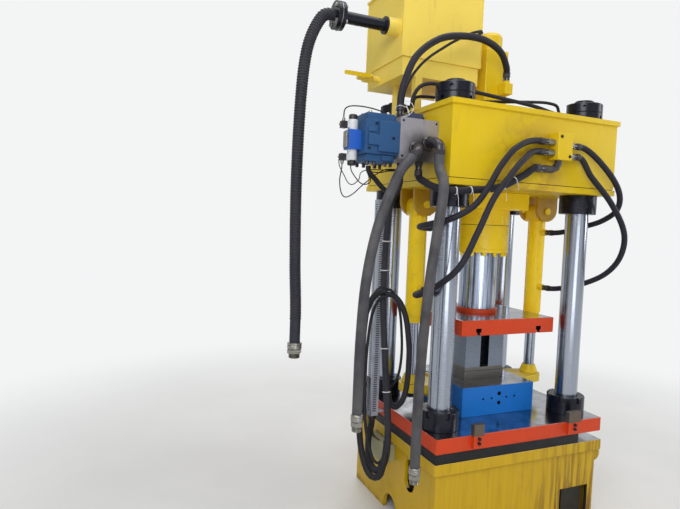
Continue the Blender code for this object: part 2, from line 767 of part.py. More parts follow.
def main_cylinder():
    """Cylinder with a square flange under the crown and an open lower end."""
    joint = CROWN_LOW - GAP - CYLINDER_FLANGE_THICKNESS - CYLINDER_JOINT_DROP
    groove = 0.0015
    body = turned("main_cylinder", [
        (CYLINDER_BORE_RADIUS, CYLINDER_LOW),
        (CYLINDER_RADIUS, CYLINDER_LOW),
        (CYLINDER_RADIUS, joint - groove),
        (CYLINDER_RADIUS - groove, joint),
        (CYLINDER_RADIUS, joint + groove),
        (CYLINDER_RADIUS, CROWN_TOP),
        (CYLINDER_PORT_RADIUS, CROWN_TOP),
        (CYLINDER_PORT_RADIUS, CROWN_TOP - CYLINDER_TOP_WALL),
        (CYLINDER_BORE_RADIUS, CROWN_TOP - CYLINDER_TOP_WALL),
    ], yellow_paint())
    half = CYLINDER_FLANGE_HALF
    top = CROWN_LOW - GAP
    flange = chamfered(box("flange", (-half, -half, top - CYLINDER_FLANGE_THICKNESS), (half, half, top)))
    cut(flange, rod((0, 0, top - 0.2), (0, 0, top + 0.1), CYLINDER_RADIUS - 0.01, ROUND))
    return join(body, flange)


def cylinder_gland():
    """Ring that closes the cylinder round the ram, with its bolt heads."""
    top = CYLINDER_LOW - GAP
    bore = RAM_RADIUS + RUNNING_GAP
    gland = turned("cylinder_gland", [
        (bore, top - GLAND_THICKNESS),
        (CYLINDER_RADIUS - 0.003, top - GLAND_THICKNESS),
        (CYLINDER_RADIUS, top - GLAND_THICKNESS + 0.003),
        (CYLINDER_RADIUS, top),
        (bore, top),
    ], yellow_paint())

    def bolt(angle):
        x = GLAND_BOLT_CIRCLE * math.cos(angle)
        y = GLAND_BOLT_CIRCLE * math.sin(angle)
        low = top - GLAND_THICKNESS - GLAND_BOLT_HEIGHT
        return rod((x, y, low), (x, y, low + GLAND_BOLT_HEIGHT + 0.004), GLAND_BOLT_RADIUS, 6)

    return join(gland, *spread(GLAND_BOLT_COUNT, bolt))


def ram():
    """Chromed ram with its head inside the cylinder."""
    head = CYLINDER_LOW + 0.045
    turned("ram", [
        (0.0, SLIDE_TOP + GAP),
        (RAM_RADIUS, SLIDE_TOP + GAP),
        (RAM_RADIUS, head),
        (CYLINDER_BORE_RADIUS - RUNNING_GAP, head),
        (CYLINDER_BORE_RADIUS - RUNNING_GAP, head + RAM_HEAD_HEIGHT),
        (0.0, head + RAM_HEAD_HEIGHT),
    ], chrome())
    low = SLIDE_TOP + GAP
    turned("ram_flange", [
        (RAM_RADIUS + GAP, low),
        (RAM_FLANGE_RADIUS, low),
        (RAM_FLANGE_RADIUS, low + RAM_FLANGE_THICKNESS - 0.003),
        (RAM_FLANGE_RADIUS - 0.003, low + RAM_FLANGE_THICKNESS),
        (RAM_RADIUS + GAP, low + RAM_FLANGE_THICKNESS),
    ], orange_paint())


def slide():
    """Moving plate with two T-slots in its underside."""
    plate = chamfered(box(
        "slide", (-SLIDE_HALF_X, -SLIDE_HALF_Y, SLIDE_LOW), (SLIDE_HALF_X, SLIDE_HALF_Y, SLIDE_TOP),
        orange_paint(),
    ))
    neck_top = SLIDE_LOW + T_SLOT_NECK_HEIGHT
    for side in SIDES.values():
        x = side * T_SLOT_X
        outline = [
            (x - T_SLOT_NECK / 2, SLIDE_LOW - 0.02),
            (x + T_SLOT_NECK / 2, SLIDE_LOW - 0.02),
            (x + T_SLOT_NECK / 2, neck_top),
            (x + T_SLOT_WIDTH / 2, neck_top),
            (x + T_SLOT_WIDTH / 2, neck_top + T_SLOT_HEIGHT),
            (x - T_SLOT_WIDTH / 2, neck_top + T_SLOT_HEIGHT),
            (x - T_SLOT_WIDTH / 2, neck_top),
            (x - T_SLOT_NECK / 2, neck_top),
        ]
        cut(plate, extruded("t_slot", outline, "Y", -SLIDE_HALF_Y - 0.02, SLIDE_HALF_Y + 0.02))
    return plate


def guide_rod():
    """Chromed rod on a bolted foot that keeps the ram from turning."""
    low = SLIDE_TOP + GAP
    foot = chamfered(box(
        "guide_rod", (GUIDE_X - GUIDE_FOOT, -GUIDE_FOOT / 2, low),
        (GUIDE_X + GUIDE_FOOT * 0.7, GUIDE_FOOT / 2, low + GUIDE_FOOT_THICKNESS), chrome(),
    ), 0.001)
    nut_low = low + GUIDE_FOOT_THICKNESS
    join(foot, rod(
        (GUIDE_X, 0, nut_low - 0.001), (GUIDE_X, 0, nut_low + GUIDE_NUT_HEIGHT), GUIDE_NUT_RADIUS, 6
    ))
    return join(foot, rod((GUIDE_X, 0, nut_low), (GUIDE_X, 0, low + GUIDE_RISE), GUIDE_RADIUS))


def punch_set():
    """Upper punch on its H-shaped holder, and the lower punch on the bolster."""
    x, y = HOLDER_HALF_X, HOLDER_HALF_Y
    slot = HOLDER_GAP / 2
    deep = y - HOLDER_RECESS
    outline = [
        (-x, -y), (-slot, -y), (-slot, -deep), (slot, -deep), (slot, -y), (x, -y),
        (x, y), (slot, y), (slot, deep), (-slot, deep), (-slot, y), (-x, y),
    ]
    holder_top = SLIDE_LOW - GAP
    holder = extruded("punch_holder", outline, "Z", HOLDER_LOW, holder_top, grey_paint())
    plate_low = holder_top - HOLDER_PLATE
    join(holder, box("plate", (-x, -y, plate_low), (x, y, holder_top)))
    foot = box("foot", (-x, -y, HOLDER_LOW), (x, y, HOLDER_LOW + HOLDER_PLATE))
    join(holder, foot)
    chamfered(box(
        "upper_punch", (-PUNCH_HALF_X, -PUNCH_HALF_Y, DIE_TOP - PUNCH_ENTRY),
        (PUNCH_HALF_X, PUNCH_HALF_Y, HOLDER_LOW - GAP), bright_steel(),
    ), 0.001)
    chamfered(box(
        "lower_punch", (-PUNCH_HALF_X, -PUNCH_HALF_Y, BOLSTER_TOP + GAP),
        (PUNCH_HALF_X, PUNCH_HALF_Y, BOLSTER_TOP + GAP + LOWER_PUNCH_HEIGHT), bright_steel(),
    ), 0.001)


def die_block():
    """Blue die with a through cavity and tapped holes in its front."""
    die = chamfered(box(
        "die_block", (-DIE_HALF_X, -DIE_HALF_Y, DIE_LOW), (DIE_HALF_X, DIE_HALF_Y, DIE_TOP), blue_paint(),
    ))
    cavity_x = PUNCH_HALF_X + PUNCH_CLEARANCE
    cavity_y = PUNCH_HALF_Y + PUNCH_CLEARANCE
    cut(die, box("cavity", (-cavity_x, -cavity_y, DIE_LOW - 0.05), (cavity_x, cavity_y, DIE_TOP + 0.05)))
    holes = ((-0.010, 0.095, 0.006), (0.028, 0.095, 0.006), (0.064, 0.112, 0.011), (0.064, 0.078, 0.008))
    for x, rise, radius in holes:
        cut(die, rod(
            (x, -DIE_HALF_Y - 0.02, DIE_LOW + rise), (x, -DIE_HALF_Y + 0.03, DIE_LOW + rise), radius, 12
        ))
    return die


def lift_bracket(name, side):
    """Welded arm that ties a lift rod to the die's side."""
    inner = DIE_HALF_X + GAP
    plate_top = LIFT_PLATE_LOW + LIFT_PLATE_THICKNESS
    left, right = sorted((side * inner, side * (inner + LIFT_SIDE_THICKNESS)))
    bracket = box(
        name, (left, -LIFT_SIDE_HALF_Y, LIFT_SIDE_LOW), (right, LIFT_SIDE_HALF_Y, LIFT_SIDE_TOP),
        yellow_paint(),
    )
    root = inner + LIFT_SIDE_THICKNESS / 2
    nose = LIFT_PLATE_REACH - LIFT_PLATE_HALF_Y
    arm = [(root, -LIFT_SIDE_HALF_Y)]
    arm += arc((nose, 0.0), LIFT_PLATE_HALF_Y, -90, 90, 12)
    arm += [(root, LIFT_SIDE_HALF_Y)]
    arm = [(side * x, y) for x, y in arm]
    join(bracket, extruded("arm", arm, "Z", LIFT_PLATE_LOW, plate_top))
    tip = LIFT_X - LIFT_ROD_RADIUS - GUSSET_CLEARANCE
    for middle in (-GUSSET_Y, GUSSET_Y):
        web = [
            (root, LIFT_SIDE_LOW + 0.003), (root, LIFT_PLATE_LOW + 0.01),
            (tip, LIFT_PLATE_LOW + 0.01), (tip, LIFT_PLATE_LOW - 0.006),
        ]
        web = [(side * x, height) for x, height in web]
        front = middle - LIFT_GUSSET / 2
        join(bracket, extruded("gusset", web, "Y", front, front + LIFT_GUSSET))
    x = side * LIFT_X
    return cut(bracket, rod(
        (x, 0, LIFT_PLATE_LOW - 0.05), (x, 0, plate_top + 0.05), LIFT_ROD_RADIUS + GAP, ROUND
    ))


def lift_rod(name, side):
    """Piston rod with its piston, cone nut and lower nut."""
    plate_top = LIFT_PLATE_LOW + LIFT_PLATE_THICKNESS
    cone_low = plate_top + GAP
    under = LIFT_PLATE_LOW - GAP
    piston_top = LIFT_PISTON_LOW + LIFT_PISTON_HEIGHT
    turned(name, [
        (0.0, under - 0.035),
        (LIFT_ROD_RADIUS - 0.002, under - 0.035),
        (LIFT_ROD_RADIUS, under - 0.033),
        (LIFT_ROD_RADIUS, under - 0.028),
        (LIFT_ROD_RADIUS + 0.016, under - 0.028),
        (LIFT_ROD_RADIUS + 0.016, under),
        (LIFT_ROD_RADIUS, under),
        (LIFT_ROD_RADIUS, cone_low),
        (CONE_NUT_RADIUS, cone_low),
        (CONE_NUT_TOP_RADIUS, cone_low + CONE_NUT_HEIGHT),
        (LIFT_ROD_RADIUS, cone_low + CONE_NUT_HEIGHT),
        (LIFT_ROD_RADIUS, LIFT_PISTON_LOW),
        (LIFT_BORE_RADIUS - RUNNING_GAP, LIFT_PISTON_LOW),
        (LIFT_BORE_RADIUS - RUNNING_GAP, piston_top),
        (0.0, piston_top),
    ], chrome(), (side * LIFT_X, 0.0, 0.0), 20)


def lift_barrel(name, side):
    """Cylinder barrel hung on its pin between the clevis plates."""
    gland_top = LIFT_BARREL_LOW + LIFT_GLAND_HEIGHT
    mouth = LIFT_ROD_RADIUS + RUNNING_GAP
    head = CLEVIS_PIN_Z - LIFT_EYE_HALF_X - 0.005
    barrel = turned(name, [
        (mouth, LIFT_BARREL_LOW),
        (LIFT_GLAND_RADIUS, LIFT_BARREL_LOW),
        (LIFT_GLAND_RADIUS, gland_top),
        (LIFT_BARREL_RADIUS, gland_top),
        (LIFT_BARREL_RADIUS, head),
        (0.0, head),
        (0.0, LIFT_BORE_TOP),
        (LIFT_BORE_RADIUS, LIFT_BORE_TOP),
        (LIFT_BORE_RADIUS, gland_top),
        (mouth, gland_top),
    ], yellow_paint(), (side * LIFT_X, 0.0, 0.0), 20)
    x = side * LIFT_X
    eye = [(x - LIFT_EYE_HALF_X, head - 0.01), (x + LIFT_EYE_HALF_X, head - 0.01)]
    eye += arc((x, CLEVIS_PIN_Z), LIFT_EYE_HALF_X, 0, 180, 12)
    half = CLEVIS_INNER_Y - 0.004
    join(barrel, extruded("eye", eye, "Y", -half, half))
    pin_end = CLEVIS_OUTER_Y + 0.008
    join(barrel, rod((x, -pin_end, CLEVIS_PIN_Z), (x, pin_end, CLEVIS_PIN_Z), CLEVIS_PIN_RADIUS))
    for height in (UPPER_PORT_Z, LOWER_PORT_Z):
        start = (x, -LIFT_BARREL_RADIUS + 0.004, height)
        join(barrel, rod(start, (x, -LIFT_BARREL_RADIUS - PORT_LENGTH, height), PORT_RADIUS, 8))
    return barrel


def top_tank():
    """Oil tank on four legs, with its return stub and drain valve."""
    half_x = (TANK_RIGHT - TANK_LEFT) / 2
    half_y = (TANK_BACK - TANK_FRONT) / 2
    centre = (TANK_LEFT + half_x, TANK_FRONT + half_y)
    band = TANK_LOW + TANK_BAND_HEIGHT
    top = TANK_LOW + TANK_HEIGHT
    lid = top - TANK_LID_THICKNESS
    tank = stepped_block("top_tank", [
        (half_x - TANK_BAND_INSET, half_y - TANK_BAND_INSET, TANK_LOW),
        (half_x - TANK_BAND_INSET, half_y - TANK_BAND_INSET, band),
        (half_x, half_y, band),
        (half_x, half_y, lid),
        (half_x + 0.008, half_y + 0.008, lid),
        (half_x + 0.008, half_y + 0.008, top),
    ], yellow_paint(), centre)
    half = TANK_LEG / 2
    for x in TANK_LEG_X:
        for y in TANK_LEG_Y:
            join(tank, stepped_block("leg", [
                (half * 1.6, half * 1.6, CROWN_TOP + GAP),
                (half * 1.6, half * 1.6, CROWN_TOP + GAP + 0.008),
                (half, half, CROWN_TOP + GAP + 0.008),
                (half, half, TANK_LOW + 0.01),
            ], None, (x, y)))
    stub_end = TANK_LEFT - RETURN_STUB_REACH
    join(tank, rod((TANK_LEFT + 0.02, RETURN_Y, RETURN_Z), (stub_end, RETURN_Y, RETURN_Z), RETURN_STUB_RADIUS, ROUND))
    drain = rod(
        (TANK_LEFT + 0.03, BALL_VALVE_Y, BALL_VALVE_Z),
        (BALL_VALVE_X - 0.060, BALL_VALVE_Y, BALL_VALVE_Z), 0.017,
    )
    body = rod(
        (BALL_VALVE_X + BALL_VALVE_RADIUS, BALL_VALVE_Y, BALL_VALVE_Z),
        (BALL_VALVE_X - BALL_VALVE_RADIUS, BALL_VALVE_Y, BALL_VALVE_Z), BALL_VALVE_RADIUS, 8,
    )
    stem = rod(
        (BALL_VALVE_X, BALL_VALVE_Y, BALL_VALVE_Z),
        (BALL_VALVE_X, BALL_VALVE_Y - LEVER_STAND_OFF - LEVER_THICKNESS - 0.006, BALL_VALVE_Z),
        LEVER_STEM_RADIUS,
    )
    boss = rod(
        (BALL_VALVE_X, BALL_VALVE_Y, BALL_VALVE_Z),
        (BALL_VALVE_X, BALL_VALVE_Y - LEVER_STAND_OFF + 0.001, BALL_VALVE_Z), 0.012,
    )
    port = rod(
        (DRAIN_PORT[0], TANK_FRONT + 0.01, DRAIN_PORT[2]), DRAIN_PORT, 0.014, 12
    )
    return join(tank, drain, body, boss, stem, port)


def tank_valve_lever():
    """Lever of the tank's drain valve, turning on its stem."""
    front = BALL_VALVE_Y - LEVER_STAND_OFF - LEVER_THICKNESS
    half = LEVER_WIDTH / 2
    outline = arc((BALL_VALVE_X, BALL_VALVE_Z), half, -90, 90, 8)
    outline += arc((BALL_VALVE_X - LEVER_LENGTH + half, BALL_VALVE_Z), half, 90, 270, 8)
    lever = extruded(
        "tank_valve_lever", outline, "Y", front, BALL_VALVE_Y - LEVER_STAND_OFF, yellow_paint(),
    )
    return cut(lever, rod(
        (BALL_VALVE_X, front - 0.02, BALL_VALVE_Z), (BALL_VALVE_X, front + 0.03, BALL_VALVE_Z),
        LEVER_STEM_RADIUS + RUNNING_GAP,
    ))


def prefill_valve():
    """Valve housing on the cylinder's top end, with a side port."""
    low = CROWN_TOP + GAP
    valve = turned("prefill_valve", [
        (0.0, low),
        (PREFILL_FLANGE_RADIUS, low),
        (PREFILL_FLANGE_RADIUS, low + PREFILL_FLANGE_THICKNESS),
        (0.0, low + PREFILL_FLANGE_THICKNESS),
    ], yellow_paint())
    top = low + PREFILL_FLANGE_THICKNESS + PREFILL_HEIGHT
    half = PREFILL_HALF
    body = chamfered(box("body", (-half, -half, low + 0.01), (half, half, top - 0.10)), 0.004)
    join(valve, body, turned("cap", [
        (0.0, top - 0.11), (half - 0.008, top - 0.11), (half - 0.008, top - 0.02),
        (half - 0.022, top), (0.0, top),
    ]))
    port = PREFILL_PORT
    join(valve, box("port", (port[0] - 0.026, port[1] - 0.026, port[2] - 0.075),
                    (port[0] + 0.026, -half + 0.01, port[2] - 0.015)))
    return join(valve, rod((port[0], port[1], port[2] - 0.02), port, 0.021, 16))


def return_pipe():
    """Steel pipe from the tank's stub to the bolted flange."""
    start = TANK_LEFT - RETURN_STUB_REACH - GAP
    profile = [
        (0.0, 0.0),
        (RETURN_STUB_RADIUS, 0.0),
        (RETURN_STUB_RADIUS, 0.012),
        (RETURN_PIPE_RADIUS, 0.012),
        (RETURN_PIPE_RADIUS, start - RETURN_PIPE_END - 2 * RETURN_FLANGE_THICKNESS),
        (RETURN_FLANGE_RADIUS, start - RETURN_PIPE_END - 2 * RETURN_FLANGE_THICKNESS),
        (RETURN_FLANGE_RADIUS, start - RETURN_PIPE_END),
        (0.0, start - RETURN_PIPE_END),
    ]
    pipe = turned("return_pipe", profile, black_steel())
    turn = Vector((-1.0, 0.0, 0.0)).to_track_quat("Z", "Y").to_matrix().to_4x4()
    pipe.data.transform(turn)
    pipe.location = (start, RETURN_Y, RETURN_Z)
    return pipe


def front_manifold():
    """Yellow port block on the crown's front, with its fittings."""
    back = -CROWN_HALF_Y - GAP
    front = back - MANIFOLD_DEPTH
    block = chamfered(box(
        "front_manifold", (MANIFOLD_LEFT, front, MANIFOLD_LOW), (MANIFOLD_RIGHT, back, MANIFOLD_TOP),
        yellow_paint(),
    ))
    for port in (RIGHT_UPPER_PORT, RIGHT_LOWER_PORT):
        join(block, rod((MANIFOLD_RIGHT - 0.01, port[1], port[2]), port, FITTING_RADIUS, 12))
    for port in (LEFT_UPPER_PORT, LEFT_LOWER_PORT):
        join(block, rod((MANIFOLD_LEFT + 0.01, port[1], port[2]), port, FITTING_RADIUS, 12))
    start = (MANIFOLD_LEFT + 0.030, BUNDLE_PORT[1], MANIFOLD_LOW + 0.01)
    elbow = tube("elbow", [
        start, (start[0], start[1], MANIFOLD_LOW - 0.015), (start[0] - 0.022, start[1], MANIFOLD_LOW - 0.044),
        (BUNDLE_PORT[0] + 0.03, start[1], BUNDLE_PORT[2]), BUNDLE_PORT,
    ], FITTING_RADIUS + 0.002, None, 0.7)
    return join(block, as_mesh(elbow))


def valve_block():
    """Steel manifold block against the crown's side, with two hose elbows."""
    right = -CROWN_HALF_X - GAP
    block = chamfered(box(
        "valve_block", (BLOCK_LEFT, BLOCK_FRONT, BLOCK_LOW), (right, BLOCK_BACK, BLOCK_TOP), grey_paint(),
    ))
    first = tube("elbow", [
        (SUPPLY_B_EXIT[0] + 0.050, BLOCK_FRONT + 0.01, SUPPLY_B_EXIT[2] + 0.045),
        (SUPPLY_B_EXIT[0] + 0.050, BLOCK_FRONT - 0.03, SUPPLY_B_EXIT[2] + 0.045),
        (SUPPLY_B_EXIT[0] + 0.020, SUPPLY_B_EXIT[1], SUPPLY_B_EXIT[2] + 0.020),
        SUPPLY_B_EXIT,
    ], 0.028, None, 0.55)
    second = tube("elbow", [
        (SUPPLY_C_EXIT[0], BLOCK_FRONT + 0.01, SUPPLY_C_EXIT[2] + 0.065),
        (SUPPLY_C_EXIT[0], BLOCK_FRONT - 0.03, SUPPLY_C_EXIT[2] + 0.063),
        (SUPPLY_C_EXIT[0], SUPPLY_C_EXIT[1], SUPPLY_C_EXIT[2] + 0.028),
        SUPPLY_C_EXIT,
    ], 0.028, None, 0.55)
    join(block, as_mesh(first), as_mesh(second))
    for port, radius in ((PRESSURE_PORT, 0.023), (DRAIN_START, 0.013)):
        join(block, rod((port[0], port[1], BLOCK_TOP - 0.01), port, radius, 12))
    for port, radius in ((BUNDLE_END, 0.023), (CONDUIT_START, 0.021)):
        join(block, rod((port[0], port[1], BLOCK_LOW + 0.01), port, radius, 12))
    return block


def main_valve():
    """Blue directional valve with narrower end caps and a pilot valve on its left face."""
    right = BLOCK_LEFT - GAP
    half_x = (right - VALVE_LEFT) / 2
    cap_x = half_x - VALVE_CAP_INSET
    cap_y = VALVE_HALF_Y - VALVE_CAP_INSET
    low = VALVE_LOW + VALVE_CAP_HEIGHT
    high = VALVE_TOP - VALVE_CAP_HEIGHT
    valve = chamfered(stepped_block("main_valve", [
        (cap_x, cap_y, VALVE_LOW), (cap_x, cap_y, low), (half_x, VALVE_HALF_Y, low),
        (half_x, VALVE_HALF_Y, high), (cap_x, cap_y, high), (cap_x, cap_y, VALVE_TOP),
    ], blue_paint(), (VALVE_LEFT + half_x, VALVE_Y)), 0.003)
    return join(valve, *pilot_parts())


def pilot_parts():
    """Pilot valve's body, bedded in the main valve, with a solenoid above and below it."""
    centre = (VALVE_LEFT - PILOT_WIDTH / 2, VALVE_Y)
    middle = (PILOT_LOW + PILOT_TOP) / 2
    body = box(
        "pilot_body", (PILOT_LEFT, VALVE_Y - PILOT_HALF_Y, middle - 0.045),
        (VALVE_LEFT + 0.004, VALVE_Y + PILOT_HALF_Y, middle + 0.045),
    )
    coil = PILOT_WIDTH / 2 - 0.004
    parts = [chamfered(body, 0.002), rod((*centre, PILOT_LOW), (*centre, PILOT_TOP), 0.012, 12)]
    for low, high in ((PILOT_LOW + 0.02, middle - 0.04), (middle + 0.04, PILOT_TOP - 0.02)):
        parts.append(rod((*centre, low), (*centre, high), coil, 16))
    return parts


def cable_duct():
    """Slotted duct on two brackets, open at its ends."""
    half = DUCT_WIDTH / 2
    duct = box(
        "cable_duct", (DUCT_X - half, DUCT_Y - half, DUCT_LOW), (DUCT_X + half, DUCT_Y + half, DUCT_TOP),
        pale_plastic(),
    )
    inner = half - DUCT_WALL
    cut(duct, box(
        "inside", (DUCT_X - inner, DUCT_Y - inner, DUCT_LOW + 0.004), (DUCT_X + inner, DUCT_Y + inner, DUCT_TOP + 0.05),
    ))
    join(duct, box(
        "upper_bracket", (DUCT_X + half - 0.001, DUCT_Y - 0.02, DUCT_TOP - 0.05),
        (-CROWN_HALF_X - CROWN_FLANGE - GAP, DUCT_Y + 0.02, DUCT_TOP - 0.044),
    ))
    tab = box(
        "tab", (-CROWN_HALF_X - CROWN_FLANGE - GAP - 0.006, DUCT_Y - 0.02, DUCT_TOP - 0.05),
        (-CROWN_HALF_X - CROWN_FLANGE - GAP, DUCT_Y + 0.02, CROWN_LOW + CROWN_FLANGE_THICKNESS),
    )
    foot = box(
        "foot", (DUCT_X + half - 0.001, DUCT_Y - 0.02, BOLSTER_LOW + 0.03),
        (-BOLSTER_HALF_X - GAP, DUCT_Y + 0.02, BOLSTER_LOW + 0.036),
    )
    return join(duct, tab, foot)


def terminal_box():
    """Junction box on the bed's left wall, with a screwed lid."""
    right = -BED_HALF_X - GAP
    left = right - TERMINAL_REACH
    high = TERMINAL_LOW + TERMINAL_HEIGHT
    case = chamfered(box(
        "terminal_box", (left + 0.006, TERMINAL_FRONT, TERMINAL_LOW), (right, TERMINAL_BACK, high), grey_paint(),
    ))
    lid = chamfered(box(
        "lid", (left, TERMINAL_FRONT - 0.002, TERMINAL_LOW - 0.002), (left + 0.012, TERMINAL_BACK + 0.002, high + 0.002),
    ), 0.001)
    return join(case, lid)


# Hose ports
BARREL_PORT_Y = -LIFT_BARREL_RADIUS - PORT_LENGTH
MANIFOLD_MIDDLE = -CROWN_HALF_Y - GAP - MANIFOLD_DEPTH / 2
RIGHT_UPPER_PORT = (MANIFOLD_RIGHT + 0.030, MANIFOLD_MIDDLE, 2.045)
RIGHT_LOWER_PORT = (MANIFOLD_RIGHT + 0.030, MANIFOLD_MIDDLE, 1.992)
LEFT_UPPER_PORT = (MANIFOLD_LEFT - 0.045, MANIFOLD_MIDDLE, 2.052)
LEFT_LOWER_PORT = (MANIFOLD_LEFT - 0.045, MANIFOLD_MIDDLE, 2.000)
BUNDLE_PORT = (MANIFOLD_LEFT - 0.070, MANIFOLD_MIDDLE - 0.005, MANIFOLD_LOW - 0.048)
PRESSURE_PORT = (CROWN_LEFT - 0.1725, BLOCK_FRONT + 0.080, BLOCK_TOP + 0.025)
DRAIN_START = (CROWN_LEFT - 0.1275, BLOCK_FRONT + 0.140, BLOCK_TOP + 0.020)
BUNDLE_END = (CROWN_LEFT - 0.0725, BLOCK_FRONT + 0.050, BLOCK_LOW - 0.022)
CONDUIT_START = (CROWN_LEFT - 0.1125, BLOCK_FRONT + 0.160, BLOCK_LOW - 0.022)
SUPPLY_B_EXIT = (CROWN_LEFT - 0.1775, BLOCK_FRONT - 0.075, BLOCK_LOW + 0.005)
SUPPLY_C_EXIT = (CROWN_LEFT - 0.0575, BLOCK_FRONT - 0.105, BLOCK_LOW + 0.020)
PREFILL_PORT = (0.030, -0.120, 2.430)
DRAIN_PORT = (-0.165, TANK_FRONT - 0.022, 2.655)


def beyond(place, x=0.0, y=0.0, z=0.0):
    """The place moved by the given amounts."""
    return (place[0] + x, place[1] + y, place[2] + z)


def held_hoses():
    """Hoses and conduit that are fixed to the press at both ends."""
    rubber = black_rubber()
    right, left = LIFT_X, -LIFT_X
    start = beyond(RIGHT_UPPER_PORT, x=GAP)
    end = (right, BARREL_PORT_Y - GAP, UPPER_PORT_Z)
    tube("right_upper_hose", [
        start, beyond(start, x=0.05), (0.350, -0.500, 1.975), (0.492, -0.500, 1.845), (0.570, -0.440, 1.745),
        (0.578, -0.340, 1.680), (0.545, -0.230, 1.640), (0.470, -0.165, 1.608), beyond(end, y=-0.045), end,
    ], LIFT_HOSE_RADIUS, rubber)
    start = beyond(RIGHT_LOWER_PORT, x=GAP)
    end = (right, BARREL_PORT_Y - GAP, LOWER_PORT_Z)
    tube("right_lower_hose", [
        start, beyond(start, x=0.04), (0.310, -0.485, 1.900), (0.456, -0.500, 1.760), (0.560, -0.500, 1.610),
        (0.595, -0.455, 1.480), (0.590, -0.370, 1.380), (0.545, -0.255, 1.310), (0.475, -0.170, 1.276),
        beyond(end, y=-0.045), end,
    ], LIFT_HOSE_RADIUS, rubber)
    start = beyond(LEFT_UPPER_PORT, x=-GAP)
    end = (left, BARREL_PORT_Y - GAP, UPPER_PORT_Z)
    tube("left_upper_hose", [
        start, beyond(start, x=-0.05), (-0.190, -0.500, 2.005), (-0.289, -0.506, 1.905), (-0.345, -0.506, 1.815),
        (-0.420, -0.500, 1.715), (-0.510, -0.455, 1.650), (-0.572, -0.355, 1.618), (-0.552, -0.235, 1.605),
        (-0.470, -0.165, 1.600), beyond(end, y=-0.045), end,
    ], LIFT_HOSE_RADIUS, rubber)
    start = beyond(LEFT_LOWER_PORT, x=-GAP)
    end = (left, BARREL_PORT_Y - GAP, LOWER_PORT_Z)
    tube("left_lower_hose", [
        start, beyond(start, x=-0.05), (-0.165, -0.520, 1.945), (-0.270, -0.540, 1.845), (-0.345, -0.540, 1.750),
        (-0.425, -0.540, 1.590), (-0.500, -0.520, 1.430), (-0.565, -0.440, 1.330), (-0.592, -0.330, 1.275),
        (-0.550, -0.225, 1.262), (-0.470, -0.165, 1.268), beyond(end, y=-0.045), end,
    ], LIFT_HOSE_RADIUS, rubber)
    start = beyond(BUNDLE_PORT, x=-GAP)
    end = beyond(BUNDLE_END, z=-GAP)
    tube("hose_bundle", [
        start, beyond(start, x=-0.04), (-0.110, -0.470, 1.880), (-0.265, -0.470, 1.808),
        (-0.430, -0.470, 1.785), (-0.520, -0.464, 1.778), (-0.570, -0.425, 1.786), (-0.597, -0.350, 1.815),
        beyond(end, z=-0.035), end,
    ], BUNDLE_RADIUS, rubber)
    start = beyond(PRESSURE_PORT, z=GAP)
    end = beyond(PREFILL_PORT, z=GAP)
    tube("pressure_hose", [
        start, beyond(start, z=0.06), (-0.665, -0.235, 2.330), (-0.600, -0.222, 2.450), (-0.480, -0.222, 2.545),
        (-0.350, -0.222, 2.582), (-0.200, -0.210, 2.590), (-0.070, -0.180, 2.560), (0.010, -0.140, 2.500),
        beyond(end, z=0.03), end,
    ], PRESSURE_HOSE_RADIUS, rubber)
    start = beyond(DRAIN_START, z=GAP)
    end = beyond(DRAIN_PORT, y=-GAP)
    tube("drain_hose", [
        start, beyond(start, z=0.04), (-0.630, -0.175, 2.300), (-0.540, -0.165, 2.430), (-0.400, -0.155, 2.540),
        (-0.270, -0.160, 2.620), (-0.185, -0.155, 2.655), beyond(end, y=-0.025), end,
    ], DRAIN_HOSE_RADIUS, rubber, 4.5)
    start = beyond(CONDUIT_START, z=-GAP)
    end = (DUCT_X, DUCT_Y, DUCT_LOW - GAP)
    tube("conduit_loop", [
        start, beyond(start, z=-0.06), (-0.648, -0.090, 1.700), (-0.655, -0.075, 1.250), (-0.655, -0.130, 0.880),
        (-0.655, -0.190, 0.560), (-0.658, -0.180, 0.400), (-0.662, -0.100, 0.305), (-0.655, 0.010, 0.315),
        (-0.628, 0.080, 0.410), beyond(end, z=-0.045), end,
    ], CONDUIT_RADIUS, rubber, 3.2)


def coupling(name, top, radius):
    """Hanging hose's end fitting: ferrule, hexagon and bored tail."""
    x, y, z = top
    body = turned(name, [
        (radius * 0.55, -COUPLING_LENGTH),
        (radius * 0.95, -COUPLING_LENGTH),
        (radius * 0.95, -COUPLING_LENGTH * 0.62),
        (radius * 1.25, -COUPLING_LENGTH * 0.58),
        (radius * 1.25, -0.002),
        (radius * 1.20, 0.0),
        (0.0, 0.0),
        (0.0, -COUPLING_LENGTH * 0.5),
        (radius * 0.55, -COUPLING_LENGTH * 0.5),
    ], bright_steel(), (x, y, z - GAP), 12)
    return body


